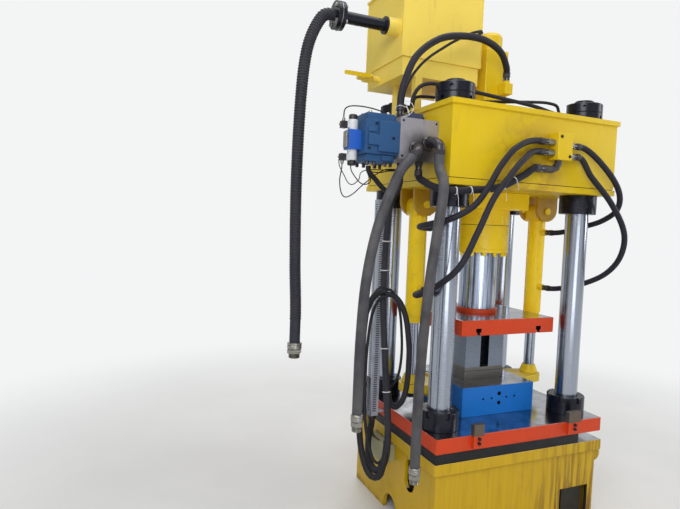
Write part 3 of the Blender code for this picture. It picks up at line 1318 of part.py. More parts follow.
def free_hoses():
    """Hoses that hang free, each with a coupling on its end."""
    rubber = black_rubber()
    start = (RETURN_PIPE_END - GAP, RETURN_Y, RETURN_Z)
    end = (-1.118, RETURN_Y, 1.000)
    tube("return_hose", [
        start, beyond(start, x=-0.030), (-1.062, RETURN_Y, 2.575), (-1.108, RETURN_Y, 2.440),
        (-1.130, RETURN_Y, 2.200), (-1.138, RETURN_Y, 1.800), (-1.130, RETURN_Y, 1.400),
        beyond(end, z=0.120), end,
    ], RETURN_HOSE_RADIUS, rubber, 1.6)
    coupling("return_coupling", end, RETURN_HOSE_RADIUS)
    drop = 1 / math.sqrt(2)
    start = beyond(SUPPLY_B_EXIT, x=-GAP * drop, z=-GAP * drop)
    end = (-0.952, -0.440, 0.760)
    tube("supply_hose_b", [
        start, beyond(start, x=-0.035, z=-0.035), (-0.815, -0.425, 1.775), (-0.890, -0.435, 1.580),
        (-0.935, -0.440, 1.350), (-0.950, -0.440, 1.100), beyond(end, z=0.100), end,
    ], SUPPLY_HOSE_RADIUS, rubber)
    coupling("supply_coupling_b", end, SUPPLY_HOSE_RADIUS)
    start = beyond(SUPPLY_C_EXIT, z=-GAP)
    end = (-0.672, -0.492, 0.500)
    tube("supply_hose_c", [
        start, beyond(start, z=-0.040), (-0.590, -0.492, 1.800), (-0.622, -0.510, 1.600),
        (-0.652, -0.510, 1.350), (-0.670, -0.500, 1.000), beyond(end, z=0.100), end,
    ], SUPPLY_HOSE_RADIUS, rubber)
    coupling("supply_coupling_c", end, SUPPLY_HOSE_RADIUS)


def main():
    clear_scene()
    bed_frame()
    bed_plate()
    bed_spacer()
    bolster_plate()
    columns()
    column_nuts()
    crown()
    main_cylinder()
    cylinder_gland()
    ram()
    slide()
    guide_rod()
    punch_set()
    die_block()
    for name, side in SIDES.items():
        lift_bracket(f"lift_bracket_{name}", side)
        lift_rod(f"lift_rod_{name}", side)
        lift_barrel(f"lift_barrel_{name}", side)
    top_tank()
    tank_valve_lever()
    prefill_valve()
    return_pipe()
    front_manifold()
    valve_block()
    main_valve()
    cable_duct()
    terminal_box()
    held_hoses()
    free_hoses()


main()
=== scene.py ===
"""Looks of a four-column hydraulic press with a floating die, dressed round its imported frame.

Everything is in metres in the frame's own axes: +X to the right along the front, +Y to the back, +Z up.
"""

from __future__ import annotations

import logging
import math
from collections.abc import Callable, Sequence
from dataclasses import dataclass, field
from enum import Enum

import bmesh
import bpy
from mathutils import Matrix, Vector
from mathutils.geometry import interpolate_bezier


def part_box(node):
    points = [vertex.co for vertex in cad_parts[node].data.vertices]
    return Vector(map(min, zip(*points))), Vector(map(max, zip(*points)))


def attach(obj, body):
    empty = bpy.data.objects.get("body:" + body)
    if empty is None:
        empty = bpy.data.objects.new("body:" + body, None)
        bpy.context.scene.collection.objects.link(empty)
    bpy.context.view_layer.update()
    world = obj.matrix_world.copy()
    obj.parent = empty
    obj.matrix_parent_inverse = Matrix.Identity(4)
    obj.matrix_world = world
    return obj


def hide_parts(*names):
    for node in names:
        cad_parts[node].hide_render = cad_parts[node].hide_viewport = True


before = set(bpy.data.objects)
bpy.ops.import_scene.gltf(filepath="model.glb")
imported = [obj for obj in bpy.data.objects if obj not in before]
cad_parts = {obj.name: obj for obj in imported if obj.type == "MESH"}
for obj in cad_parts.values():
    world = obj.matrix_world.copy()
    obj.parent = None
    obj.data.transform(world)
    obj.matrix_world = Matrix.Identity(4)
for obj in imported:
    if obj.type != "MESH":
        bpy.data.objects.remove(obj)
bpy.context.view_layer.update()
LOG = logging.getLogger("press")
LIFT_X = 0.42
BEAD_STEP = 0.006
MERGE_REACH = 2e-5
FLAT_ANGLE = math.radians(1)
BEVEL_ANGLE = math.radians(30)
BEVELLED_EDGE, PLAIN_EDGE, BOLT_EDGE = 50, 38, 28
Point = tuple[float, float, float]
Colour = tuple[float, float, float]
UP: Point = (0.0, 0.0, 1.0)
DOWN: Point = (0.0, 0.0, -1.0)
FRONTWARD: Point = (0.0, -1.0, 0.0)


class Body(Enum):
    """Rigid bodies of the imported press."""

    FRAME = "press_frame"
    SLIDE = "press_slide"
    DIE = "floating_die"
    LEVER = "valve_lever"


class Slot(Enum):
    """Material slots of the record."""

    YELLOW = "yellow_paint"
    ORANGE = "orange_paint"
    BLUE = "blue_paint"
    GREY = "grey_paint"
    CHROME = "hard_chrome"
    BRIGHT = "bright_steel"
    BLACK = "black_steel"
    RUBBER = "black_rubber"
    PALE = "pale_plastic"


def rgb(red: int, green: int, blue: int) -> Colour:
    """Turn an 8-bit screen colour into linear light.

    Args:
        red: Red, 0 to 255.
        green: Green, 0 to 255.
        blue: Blue, 0 to 255.

    Returns:
        The linear colour.
    """
    parts = []
    for value in (red, green, blue):
        share = value / 255
        parts.append(share / 12.92 if share <= 0.04045 else ((share + 0.055) / 1.055) ** 2.4)
    return (parts[0], parts[1], parts[2])


class Wire:
    """A node's output that Python operators add Math nodes to."""

    def __init__(self, tree: Tree, socket: bpy.types.NodeSocket) -> None:
        """Keep the tree and the socket."""
        self.tree, self.socket = tree, socket

    def other(self, name: str) -> Wire:
        """Another output of the same node."""
        return Wire(self.tree, self.socket.node.outputs[name])

    def maths(self, operation: str, *others: Wire | float) -> Wire:
        """Add a Math node.

        Args:
            operation: The Math node's operation.
            others: The second and third values.

        Returns:
            The result.
        """
        return self.tree.node("ShaderNodeMath", dict(enumerate((self, *others))), operation=operation)

    def __add__(self, other: Wire | float) -> Wire:
        """Add."""
        return self.maths("ADD", other)

    __radd__ = __add__

    def __sub__(self, other: Wire | float) -> Wire:
        """Subtract."""
        return self.maths("SUBTRACT", other)

    def __rsub__(self, other: float) -> Wire:
        """Subtract from a number."""
        return (self * -1.0) + other

    def __mul__(self, other: Wire | float) -> Wire:
        """Multiply."""
        return self.maths("MULTIPLY", other)

    __rmul__ = __mul__

    def larger(self, other: Wire | float) -> Wire:
        """Take the larger of two values."""
        return self.maths("MAXIMUM", other)

    def ramp(self, low: float, high: float, start: float = 0.0, end: float = 1.0) -> Wire:
        """Ease from one value to another.

        Args:
            low: Input where the ease begins.
            high: Input where the ease ends.
            start: Value at low.
            end: Value at high.

        Returns:
            The eased value, clamped at both ends.
        """
        inputs = {"Value": self, "From Min": low, "From Max": high, "To Min": start, "To Max": end}
        return self.tree.node("ShaderNodeMapRange", inputs, interpolation_type="SMOOTHSTEP")


class Tree:
    """Node tree under construction."""

    def __init__(self, tree: bpy.types.NodeTree) -> None:
        """Keep the tree."""
        self.tree = tree

    def feed(self, socket: bpy.types.NodeSocket, value: Wire | float | Sequence[float]) -> None:
        """Link a wire to a socket, or set its value.

        Args:
            socket: Socket to feed.
            value: Wire to link to it, or its value.
        """
        if isinstance(value, Wire):
            self.tree.links.new(value.socket, socket)
        else:
            socket.default_value = value

    def node(self, kind: str, inputs: dict | None = None, output: int | str = 0, **settings: object) -> Wire:
        """Add any node.

        Args:
            kind: The node's type.
            inputs: Values or wires by socket name or number.
            output: Output that is wanted.
            settings: Properties that are set first, and a colour ramp's stops.

        Returns:
            The output.
        """
        node = self.tree.nodes.new(kind)
        for key, value in settings.items():
            if key == "stops":
                fill_ramp(node.color_ramp, value)
            else:
                setattr(node, key, value)
        for key, value in (inputs or {}).items():
            self.feed(node.inputs[key], value)
        return Wire(self, node.outputs[output])

    def close(self, kind: str, value: Wire) -> None:
        """Add the tree's last node."""
        self.feed(self.tree.nodes.new(kind).inputs[0], value)


def fill_ramp(ramp: bpy.types.ColorRamp, stops: Sequence[tuple[float, Colour]]) -> None:
    """Set a colour ramp's stops on a smooth curve.

    Args:
        ramp: The ramp.
        stops: Position and colour of each stop, in order.
    """
    ramp.interpolation = "B_SPLINE"
    ramp.elements[0].position, ramp.elements[1].position = stops[0][0], stops[-1][0]
    for position, _ in stops[1:-1]:
        ramp.elements.new(position)
    for element, (_, colour) in zip(ramp.elements, stops):
        element.color = (*colour, 1.0)


class Recipe(Tree):
    """Node material under construction."""

    def __init__(self, name: str) -> None:
        """Start a material with a Principled shader.

        Args:
            name: The material's name.
        """
        self.material = bpy.data.materials.new(name)
        self.material.use_nodes = True
        super().__init__(self.material.node_tree)
        self.shader = self.tree.nodes["Principled BSDF"]

    def place(self, scale: Point = (1.0, 1.0, 1.0)) -> Wire:
        """Object coordinates, stretched."""
        coordinates = self.node("ShaderNodeTexCoord", output="Object")
        return self.node("ShaderNodeMapping", {"Vector": coordinates, "Scale": scale})

    def axis(self, vector: Wire, index: int) -> Wire:
        """One part of a vector."""
        return self.node("ShaderNodeSeparateXYZ", {0: vector}, index)

    def facing(self) -> Wire:
        """How far the surface faces upwards."""
        return self.axis(self.node("ShaderNodeNewGeometry", output="Normal"), 2)

    def away(self, middle: Point) -> Wire:
        """Distance from a point."""
        return self.node("ShaderNodeVectorMath", {0: self.place(), 1: middle}, "Value", operation="DISTANCE")

    def noise(self, scale: float, detail: float = 3.0, stretch: Point = (1.0, 1.0, 1.0), rough: float = 0.55) -> Wire:
        """Fractal noise from 0 to 1.

        Args:
            scale: Features a metre.
            detail: Octaves.
            stretch: Scale along each axis.
            rough: Share that each octave keeps.

        Returns:
            The noise.
        """
        inputs = {"Vector": self.place(stretch), "Scale": scale, "Detail": detail, "Roughness": rough}
        return self.node("ShaderNodeTexNoise", inputs)

    def blend(self, share: Wire | float, first: Wire | Colour, second: Wire | Colour) -> Wire:
        """Mix two colours.

        Args:
            share: Share of the second colour.
            first: Colour at 0.
            second: Colour at 1.

        Returns:
            The mixed colour.
        """
        first, second = (colour if isinstance(colour, Wire) else (*colour, 1.0) for colour in (first, second))
        return self.node("ShaderNodeMix", {0: share, 6: first, 7: second}, 2, data_type="RGBA")

    def bump(self, height: Wire, depth: float, strength: float = 1.0) -> Wire:
        """Normal raised by a height.

        Args:
            height: Height from 0 to 1.
            depth: Metres that 1 stands for.
            strength: Share of the effect.

        Returns:
            The bumped normal.
        """
        return self.node("ShaderNodeBump", {"Height": height, "Distance": depth, "Strength": strength})

    def finish(self, **inputs: Wire | float | Sequence[float]) -> bpy.types.Material:
        """Feed the Principled shader.

        Args:
            inputs: Values by socket name, with underscores for spaces.

        Returns:
            The material.
        """
        for key, value in inputs.items():
            self.feed(self.shader.inputs[key.replace("_", " ")], value)
        return self.material


@dataclass(frozen=True)
class Enamel:
    """Brushed and sprayed machine enamel with dust, grime and chips."""

    name: str
    slot: Slot
    colour: Colour
    dust: float = 0.35
    grime: float = 0.35
    chips: float = 0.25
    stain_height: float = 0.0
    bright_tops: bool = False
    gloss: float = 0.3
    rub: tuple[Point, float] | None = None

    def make(self) -> bpy.types.Material:
        """Build the material.

        Returns:
            The enamel, or enamel with machined upward and downward faces.
        """
        recipe = Recipe(self.name)
        broad = recipe.noise(2.2, 4.0)
        cloudy = recipe.noise(11.0, 5.0)
        fine = recipe.noise(240.0, 2.0)
        runs = recipe.noise(9.0, 4.0, (3.0, 3.0, 0.35))
        specks = recipe.noise(70.0, 3.0, rough=0.7)
        facing = recipe.facing()
        dark = tuple(part * 0.62 for part in self.colour)
        worn = tuple(part * 0.86 + 0.008 for part in self.colour)
        colour = recipe.blend(broad.ramp(0.35, 0.7) * 0.55, self.colour, worn)
        grime = runs.ramp(0.56, 0.78) * cloudy.ramp(0.35, 0.65) * self.grime
        colour = recipe.blend(grime, colour, rgb(104, 84, 44))
        colour = recipe.blend(cloudy.ramp(0.6, 0.8) * 0.35, colour, dark)
        dust = facing.ramp(0.35, 0.95) * cloudy.ramp(0.2, 0.75, 0.45, 1.0) * self.dust
        colour = recipe.blend(dust, colour, rgb(176, 168, 150))
        if self.rub:
            middle, reach = self.rub
            spread = recipe.away(middle) + (cloudy - 0.5) * 0.2
            mark = spread.ramp(reach * 0.3, reach, 1.0, 0.0) * cloudy.ramp(0.38, 0.58, 0.2, 1.0)
            colour = recipe.blend(mark * 0.55, colour, rgb(132, 84, 26))
        chips = specks.ramp(0.735, 0.76) * broad.ramp(0.45, 0.6) * self.chips
        colour = recipe.blend(chips, colour, rgb(70, 52, 40))
        rough = cloudy.ramp(0.25, 0.8, self.gloss, self.gloss + 0.22) + dust * 0.35 + grime * 0.25
        if self.stain_height:
            across, deep, height = (recipe.axis(recipe.place(), index) for index in range(3))
            drips = recipe.noise(30.0, 5.0, (1.8, 1.8, 0.1))
            corner = across.ramp(-0.05, 0.34, 0.16, 1.0) * deep.ramp(-0.44, -0.26, 1.0, 0.3)
            level = height.ramp(0.0, self.stain_height, 1.0, 0.45)
            stain = (level * drips.ramp(0.44, 0.55) * corner).larger(
                height.ramp(0.0, 0.05, 0.7, 0.0) * cloudy.ramp(0.3, 0.6))
            colour = recipe.blend(stain * 0.85, colour, rgb(92, 58, 28))
            rough = rough + stain * 0.3
        metal = 0.0
        if self.bright_tops:
            bare = facing.maths("ABSOLUTE").ramp(0.8, 0.9)
            lines = recipe.noise(60.0, 3.0, (0.4, 12.0, 1.0))
            steel = recipe.blend(cloudy.ramp(0.3, 0.75), rgb(196, 198, 202), rgb(150, 150, 152))
            colour = recipe.blend(bare, colour, steel)
            metal = bare
            smooth = lines.ramp(0.3, 0.7, 0.1, 0.2) + cloudy.ramp(0.55, 0.8, 0.0, 0.14)
            rough = rough * (1.0 - bare) + smooth * bare
        peel = recipe.bump(fine * 0.6 + cloudy * 0.4, 0.0009, 0.35)
        return recipe.finish(Base_Color=colour, Roughness=rough, Metallic=metal, Normal=peel, Specular_IOR_Level=0.36)


@dataclass(frozen=True)
class Metal:
    """Bare or plated metal with fine tool lines, a film of oil and, where asked, painted reflection streaks."""

    name: str
    slot: Slot
    colour: Colour
    shine: float = 0.12
    lines: Point = (1.0, 1.0, 40.0)
    line_depth: float = 0.00004
    oil: float = 0.25
    metallic: float = 1.0
    oil_colour: Colour = (0.16, 0.13, 0.1)
    spill: tuple[Point, float] | None = None
    reflection_streaks: float = 0.0

    def make(self) -> bpy.types.Material:
        """Build the material.

        Returns:
            The metal.
        """
        recipe = Recipe(self.name)
        cloudy = recipe.noise(7.0, 5.0)
        tool = recipe.noise(24.0, 3.0, self.lines)
        smear = recipe.noise(6.0, 4.0, (3.0, 3.0, 0.5))
        film = smear.ramp(0.55, 0.75) * cloudy.ramp(0.4, 0.7) * self.oil
        if self.spill:
            middle, reach = self.spill
            spread = recipe.away(middle) + (cloudy - 0.5) * 0.12
            film = film.larger(spread.ramp(reach * 0.25, reach, 0.92, 0.0))
        colour = recipe.blend(film, self.colour, self.oil_colour)
        # Painted reflection: darker bluish vertical streaks stand in for the surroundings mirrored in the metal.
        if self.reflection_streaks:
            fine = recipe.noise(70.0, 3.0, (1.0, 1.0, 0.02))
            colour = recipe.blend(fine.ramp(0.42, 0.62) * self.reflection_streaks, colour, rgb(70, 84, 108))
        rough = tool.ramp(0.3, 0.7, self.shine * 0.7, self.shine * 1.35) + cloudy.ramp(0.5, 0.8, 0.0, 0.08)
        rough = rough + film * 0.25
        return recipe.finish(Base_Color=colour, Roughness=rough, Metallic=self.metallic,
                             Normal=recipe.bump(tool, self.line_depth, 0.6))


@dataclass(frozen=True)
class Rubber:
    """Hose cover with wrap marks and workshop dust."""

    name: str
    slot: Slot
    colour: Colour = rgb(58, 56, 62)
    dust_colour: Colour = rgb(128, 120, 110)
    dust: float = 0.35

    def make(self) -> bpy.types.Material:
        """Build the material.

        Returns:
            The rubber.
        """
        recipe = Recipe(self.name)
        patches = recipe.noise(9.0, 5.0)
        weave = recipe.noise(420.0, 2.0)
        scuffs = recipe.noise(46.0, 4.0, (1.0, 1.0, 0.5))
        facing = recipe.facing()
        dust = (facing.ramp(-0.4, 0.9, 0.25, 1.0) * patches.ramp(0.3, 0.7)).larger(scuffs.ramp(0.62, 0.75) * 0.5)
        colour = recipe.blend(dust * self.dust, self.colour, self.dust_colour)
        rough = patches.ramp(0.3, 0.7, 0.42, 0.62) + dust * 0.15
        return recipe.finish(
            Base_Color=colour, Roughness=rough, Normal=recipe.bump(weave, 0.0004, 0.4), Specular_IOR_Level=0.2)


@dataclass(frozen=True)
class Plastic:
    """Moulded plastic with a fine grain."""

    name: str
    slot: Slot
    colour: Colour
    rough: float = 0.45
    dirt: float = 0.25

    def make(self) -> bpy.types.Material:
        """Build the material.

        Returns:
            The plastic.
        """
        recipe = Recipe(self.name)
        patches = recipe.noise(16.0, 5.0)
        grain = recipe.noise(600.0, 2.0)
        colour = recipe.blend(patches.ramp(0.45, 0.75) * self.dirt, self.colour, rgb(96, 88, 74))
        rough = patches.ramp(0.3, 0.7, self.rough, self.rough + 0.15)
        return recipe.finish(Base_Color=colour, Roughness=rough, Normal=recipe.bump(grain, 0.0002, 0.3))


class Finish(Enum):
    """Every finish on the press."""

    YELLOW = Enamel("yellow_enamel", Slot.YELLOW, rgb(220, 187, 6), dust=0.28, grime=0.28)
    CROWN_YELLOW = Enamel("crown_enamel", Slot.YELLOW, rgb(220, 187, 6), dust=0.28, grime=0.28,
                          rub=((-0.06, -0.44, 1.92), 0.34))
    CLEVIS_YELLOW = Enamel("clevis_enamel", Slot.YELLOW, rgb(186, 142, 22), dust=0.4, grime=0.9)
    # Painted light: the main and lift cylinders get a brighter yellow than the crown, making up for the shade they
    # hang in.
    CYLINDER_YELLOW = Enamel("cylinder_lit_enamel", Slot.YELLOW, rgb(250, 212, 16), dust=0.15, grime=0.15, gloss=0.22)
    BED_YELLOW = Enamel("bed_enamel", Slot.YELLOW, rgb(198, 160, 0), grime=0.5, stain_height=0.42, bright_tops=True)
    # Painted light: the tank's yellow is lighter and paler than the press's, standing in for the strong light that
    # falls on it.
    TANK_YELLOW = Enamel("tank_lit_enamel", Slot.YELLOW, rgb(236, 208, 88), dust=0.5, grime=0.2, gloss=0.44)
    ORANGE = Enamel("orange_enamel", Slot.ORANGE, rgb(200, 60, 12), dust=0.1, grime=0.25, bright_tops=True, gloss=0.36)
    ORANGE_RING = Enamel("orange_ring", Slot.ORANGE, rgb(200, 60, 12), dust=0.1)
    DIE_BLUE = Enamel("die_enamel", Slot.BLUE, rgb(0, 104, 190), dust=0.1, grime=0.1, bright_tops=True, gloss=0.3)
    VALVE_BLUE = Enamel("valve_enamel", Slot.BLUE, rgb(34, 78, 124), dust=0.22, grime=0.3, gloss=0.4)
    PILOT_BLUE = Enamel("pilot_enamel", Slot.BLUE, rgb(30, 92, 190), dust=0.12, grime=0.15)
    EXTRA_BLUE = Enamel("side_valve_enamel", Slot.BLUE, rgb(62, 72, 100), dust=0.2, grime=0.3, gloss=0.4)
    GREY = Metal("oiled_grey", Slot.GREY, rgb(158, 156, 164), 0.4, (2.0, 2.0, 14.0), metallic=0.45, oil=0.55,
                 oil_colour=rgb(40, 37, 38), spill=((-0.625, -0.33, 1.965), 0.125))
    HOLDER = Metal("holder_grey", Slot.GREY, rgb(126, 137, 152), 0.34, (1.0, 1.0, 30.0), metallic=0.35)
    BAR = Metal("bare_bar", Slot.BRIGHT, rgb(104, 94, 84), 0.42, (1.0, 1.0, 30.0), metallic=0.7, oil=0.5)
    BOX_GREY = Enamel("box_enamel", Slot.GREY, rgb(158, 156, 122), dust=0.4, chips=0.1, gloss=0.42)
    # The chromes carry painted reflection streaks, faint on the columns and strong on the ram.
    CHROME = Metal("ground_chrome", Slot.CHROME, rgb(160, 166, 178), 0.2, (1.0, 1.0, 60.0), 0.000006,
                   oil=0.15, reflection_streaks=0.12)
    RAM = Metal("drawn_chrome", Slot.CHROME, rgb(186, 196, 214), 0.22, (1.0, 1.0, 0.03), 0.00002,
                oil=0.15, reflection_streaks=0.75)
    STEEL = Metal("machined_steel", Slot.BRIGHT, rgb(176, 176, 178), 0.22)
    PUNCH = Metal("punch_steel", Slot.BRIGHT, rgb(126, 123, 118), 0.36, oil=0.5)
    ZINC = Metal("plated_fitting", Slot.BRIGHT, rgb(150, 148, 142), 0.34, oil=0.6)
    FITTING = Metal("dark_fitting", Slot.BLACK, rgb(72, 70, 74), 0.34, metallic=0.7, oil=0.5)
    GROOVE = Plastic("dark_groove", Slot.BLACK, rgb(44, 34, 12), 0.6, 0.1)
    BLACK = Metal("black_oxide", Slot.BLACK, rgb(24, 26, 38), 0.28, metallic=0.5, oil=0.15)
    SPACER = Enamel("black_plate", Slot.BLACK, rgb(12, 12, 17), dust=0.08, grime=0.05, gloss=0.4)
    # Painted shade: near-black paint for the faces inside the bed's front recess.
    PIT_SHADE = Enamel("pit_painted_shade", Slot.BLACK, rgb(34, 30, 20), dust=0.1, grime=0.6, gloss=0.5)
    HOSE = Rubber("hose_cover", Slot.RUBBER, rgb(34, 34, 44), rgb(98, 93, 92), 0.14)
    DUSTY_HOSE = Rubber("dusty_hose_cover", Slot.RUBBER, rgb(62, 62, 67), rgb(128, 125, 124), 0.6)
    DARK_HOSE = Rubber("corrugated_cover", Slot.RUBBER, rgb(46, 47, 56), rgb(104, 100, 98), 0.26)
    WIRE = Rubber("cable_cover", Slot.RUBBER, rgb(32, 32, 38), rgb(90, 86, 84), 0.2)
    DUCT = Plastic("duct_plastic", Slot.PALE, rgb(176, 184, 200))
    COIL = Plastic("coil_plastic", Slot.PALE, rgb(206, 210, 214), 0.26, 0.12)
    CAP = Plastic("cap_plastic", Slot.BLACK, rgb(26, 26, 30), 0.35, 0.15)
    TIE = Plastic("tie_plastic", Slot.PALE, rgb(226, 226, 224), 0.35, 0.1)


MATERIALS: dict[Finish, bpy.types.Material] = {}


def material_of(finish: Finish) -> bpy.types.Material:
    """Return a finish's material, made once.

    Args:
        finish: The finish.

    Returns:
        Its material.
    """
    if finish not in MATERIALS:
        MATERIALS[finish] = finish.value.make()
    return MATERIALS[finish]


def evaluated_mesh(thing: bpy.types.Object) -> bpy.types.Mesh:
    """Mesh of an object with its modifiers applied."""
    graph = bpy.context.evaluated_depsgraph_get()
    return bpy.data.meshes.new_from_object(thing.evaluated_get(graph), preserve_all_data_layers=True, depsgraph=graph)


def linked(name: str, data: bpy.types.ID) -> bpy.types.Object:
    """Put new data into the scene.

    Args:
        name: The object's name.
        data: Its mesh, curve, light or camera.

    Returns:
        The object.
    """
    thing = bpy.data.objects.new(name, data)
    bpy.context.scene.collection.objects.link(thing)
    return thing


def circle(radius: float, count: int, first: float = 0.0) -> list[tuple[float, float]]:
    """Evenly spaced points on a circle."""
    turns = [first + math.tau * step / count for step in range(count)]
    return [(radius * math.cos(turn), radius * math.sin(turn)) for turn in turns]


def peg(radius: float, height: float) -> list[tuple[float, float]]:
    """Profile of a plain round bar."""
    return [(radius, 0.0), (radius, height)]


class Shape:
    """Mesh under construction in the frame's own coordinates."""

    def __init__(self, name: str, finish: Finish) -> None:
        """Start an empty mesh in one finish.

        Args:
            name: The piece's name, or its CAD node's.
            finish: Its usual finish.
        """
        self.name = name
        self.mesh = bmesh.new()
        self.finishes = [finish]

    def dress(self, start: int, finish: Finish | None) -> Shape:
        """Give a finish to every face made since a count.

        Args:
            start: The count.
            finish: The finish, where it isn't the shape's own.

        Returns:
            The shape.
        """
        chosen = finish or self.finishes[0]
        if chosen not in self.finishes:
            self.finishes.append(chosen)
        self.mesh.faces.ensure_lookup_table()
        for face in self.mesh.faces[start:]:
            face.material_index = self.finishes.index(chosen)
        return self

    def box(self, low: Point, high: Point, finish: Finish | None = None) -> Shape:
        """Add a block.

        Args:
            low: Lowest corner.
            high: Highest corner.
            finish: Finish other than the shape's own.

        Returns:
            The shape.
        """
        corners = [(low[0], low[1]), (high[0], low[1]), (high[0], high[1]), (low[0], high[1])]
        return self.prism([(*corner, low[2]) for corner in corners], (0.0, 0.0, high[2] - low[2]), finish)

    def prism(self, outline: Sequence[Point], shift: Point, finish: Finish | None = None) -> Shape:
        """Add a flat outline pushed along a vector.

        Args:
            outline: Corners in order.
            shift: Way from the first end to the other.
            finish: Finish other than the shape's own.

        Returns:
            The shape.
        """
        start = len(self.mesh.faces)
        near = [self.mesh.verts.new(corner) for corner in outline]
        far = [self.mesh.verts.new(Vector(corner) + Vector(shift)) for corner in outline]
        self.mesh.faces.new(near)
        self.mesh.faces.new(far[::-1])
        for index, corner in enumerate(near):
            other = (index + 1) % len(near)
            self.mesh.faces.new((near[other], corner, far[index], far[other]))
        return self.dress(start, finish)

    def rings(self, rows: Sequence[Sequence[Vector]], finish: Finish | None = None, loop: bool = False) -> Shape:
        """Skin a row of closed rings, where a ring of one point is a tip.

        Args:
            rows: Rings in order.
            finish: Finish other than the shape's own.
            loop: Whether the last ring joins the first.

        Returns:
            The shape.
        """
        start = len(self.mesh.faces)
        made = [[self.mesh.verts.new(point) for point in row] for row in rows]
        pairs = list(zip(made, made[1:])) + ([(made[-1], made[0])] if loop else [])
        for first, second in pairs:
            count = max(len(first), len(second))
            for step in range(count):
                after = (step + 1) % count
                if len(first) == 1:
                    self.mesh.faces.new((first[0], second[step], second[after]))
                elif len(second) == 1:
                    self.mesh.faces.new((first[after], first[step], second[0]))
                else:
                    self.mesh.faces.new((first[after], first[step], second[step], second[after]))
        if not loop:
            for row in (made[0], made[-1]):
                if len(row) > 2:
                    self.mesh.faces.new(row)
        return self.dress(start, finish)

    def turned(self, foot: Point | Vector, profile: Sequence[tuple[float, float]], axis: Point | Vector = UP,
               around: int = 64, finish: Finish | None = None, loop: bool = False) -> Shape:
        """Add a body of revolution.

        Args:
            foot: Point on the axis that heights count from.
            profile: Radius and height of each ring.
            axis: Direction of the axis.
            around: Points on each ring.
            finish: Finish other than the shape's own.
            loop: Whether the profile closes on itself, as a ring's does, and not on the axis.

        Returns:
            The shape.
        """
        turn = Vector(axis).to_track_quat("Z", "Y")
        if not loop:
            profile = [(0.0, profile[0][1]), *profile, (0.0, profile[-1][1])]
        rows = []
        for radius, height in profile:
            points = circle(radius, around) if radius > 0 else [(0.0, 0.0)]
            rows.append([Vector(foot) + turn @ Vector((x, y, height)) for x, y in points])
        return self.rings(rows, finish, loop)

    def tube(self, path: Sequence[Vector], radius: float | Callable[[float], float], around: int = 20,
             finish: Finish | None = None) -> Shape:
        """Add a tube along a path.

        Args:
            path: Points on its middle line.
            radius: Radius, or a function of the share of the path's points.
            around: Points on each ring.
            finish: Finish other than the shape's own.

        Returns:
            The shape.
        """
        path = [Vector(point) for point in path]
        ways = [(after - before).normalized() for before, after in zip(path, path[1:])]
        ways = [ways[0]] + [(a + b).normalized() for a, b in zip(ways, ways[1:])] + [ways[-1]]
        side = ways[0].orthogonal().normalized()
        rows = []
        for step, (point, way) in enumerate(zip(path, ways)):
            side = (side - way * side.dot(way)).normalized()
            other = way.cross(side)
            size = radius(step / (len(path) - 1)) if callable(radius) else radius
            rows.append([point + side * x + other * y for x, y in circle(size, around)])
        return self.rings(rows, finish)

    def node(self, name: str = "") -> Shape:
        """Add a copy of a CAD node, with its triangles merged into faces.

        Args:
            name: The node, where it isn't the shape's own.

        Returns:
            The shape.
        """
        start = len(self.mesh.faces)
        copy = bmesh.new()
        copy.from_mesh(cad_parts[name or self.name].data)
        bmesh.ops.remove_doubles(copy, verts=copy.verts, dist=MERGE_REACH)
        bmesh.ops.dissolve_limit(copy, angle_limit=FLAT_ANGLE, verts=copy.verts, edges=copy.edges)
        merged = bpy.data.meshes.new("merged")
        copy.to_mesh(merged)
        copy.free()
        self.mesh.from_mesh(merged)
        bpy.data.meshes.remove(merged)
        return self.dress(start, None)

    def weld(self, start: Point, end: Point, radius: float) -> Shape:
        """Lay a hand-made bead along a straight seam.

        Args:
            start: One end.
            end: The other end.
            radius: Radius, which swells and shrinks by a fifth at each ripple.

        Returns:
            The shape.
        """
        first, last = Vector(start), Vector(end)
        count = max(4, round((last - first).length / BEAD_STEP))
        path = [first.lerp(last, index / count) for index in range(count + 1)]
        return self.tube(path, lambda share: radius * (
            0.86 + 0.12 * math.sin(share * 900.0) + 0.08 * math.sin(share * 47.0)), 8)

    def slice(self, level: float) -> Shape:
        """Split every face that crosses a height.

        Args:
            level: The height.

        Returns:
            The shape.
        """
        parts = [*self.mesh.verts, *self.mesh.edges, *self.mesh.faces]
        bmesh.ops.bisect_plane(self.mesh, geom=parts, plane_co=(0.0, 0.0, level), plane_no=UP)
        return self

    def redress(self, finish: Finish, chosen: Callable[[Vector, Vector], bool]) -> Shape:
        """Give a finish to the faces that a test on their middle and normal chooses.

        Args:
            finish: The finish.
            chosen: The test.

        Returns:
            The shape.
        """
        if finish not in self.finishes:
            self.finishes.append(finish)
        bmesh.ops.recalc_face_normals(self.mesh, faces=self.mesh.faces)
        for face in self.mesh.faces:
            if chosen(face.calc_center_median(), face.normal):
                face.material_index = self.finishes.index(finish)
        return self

    def loose(self) -> bpy.types.Object:
        """Turn the shape into an object, with its normals outwards.

        Returns:
            The object.
        """
        bmesh.ops.recalc_face_normals(self.mesh, faces=self.mesh.faces)
        name = f"{self.name}_dressed" if self.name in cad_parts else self.name
        data = bpy.data.meshes.new(name)
        self.mesh.to_mesh(data)
        self.mesh.free()
        return linked(name, data)

    def cut(self, tool: Shape) -> Shape:
        """Take another shape's volume away.

        Args:
            tool: The other shape, which is used up.

        Returns:
            The shape.
        """
        target, cutter = self.loose(), tool.loose()
        change = target.modifiers.new("cut", "BOOLEAN")
        change.operation, change.solver, change.object = "DIFFERENCE", "EXACT", cutter
        result = evaluated_mesh(target)
        self.mesh = bmesh.new()
        self.mesh.from_mesh(result)
        for thing in (target, cutter):
            bpy.data.objects.remove(thing)
        return self

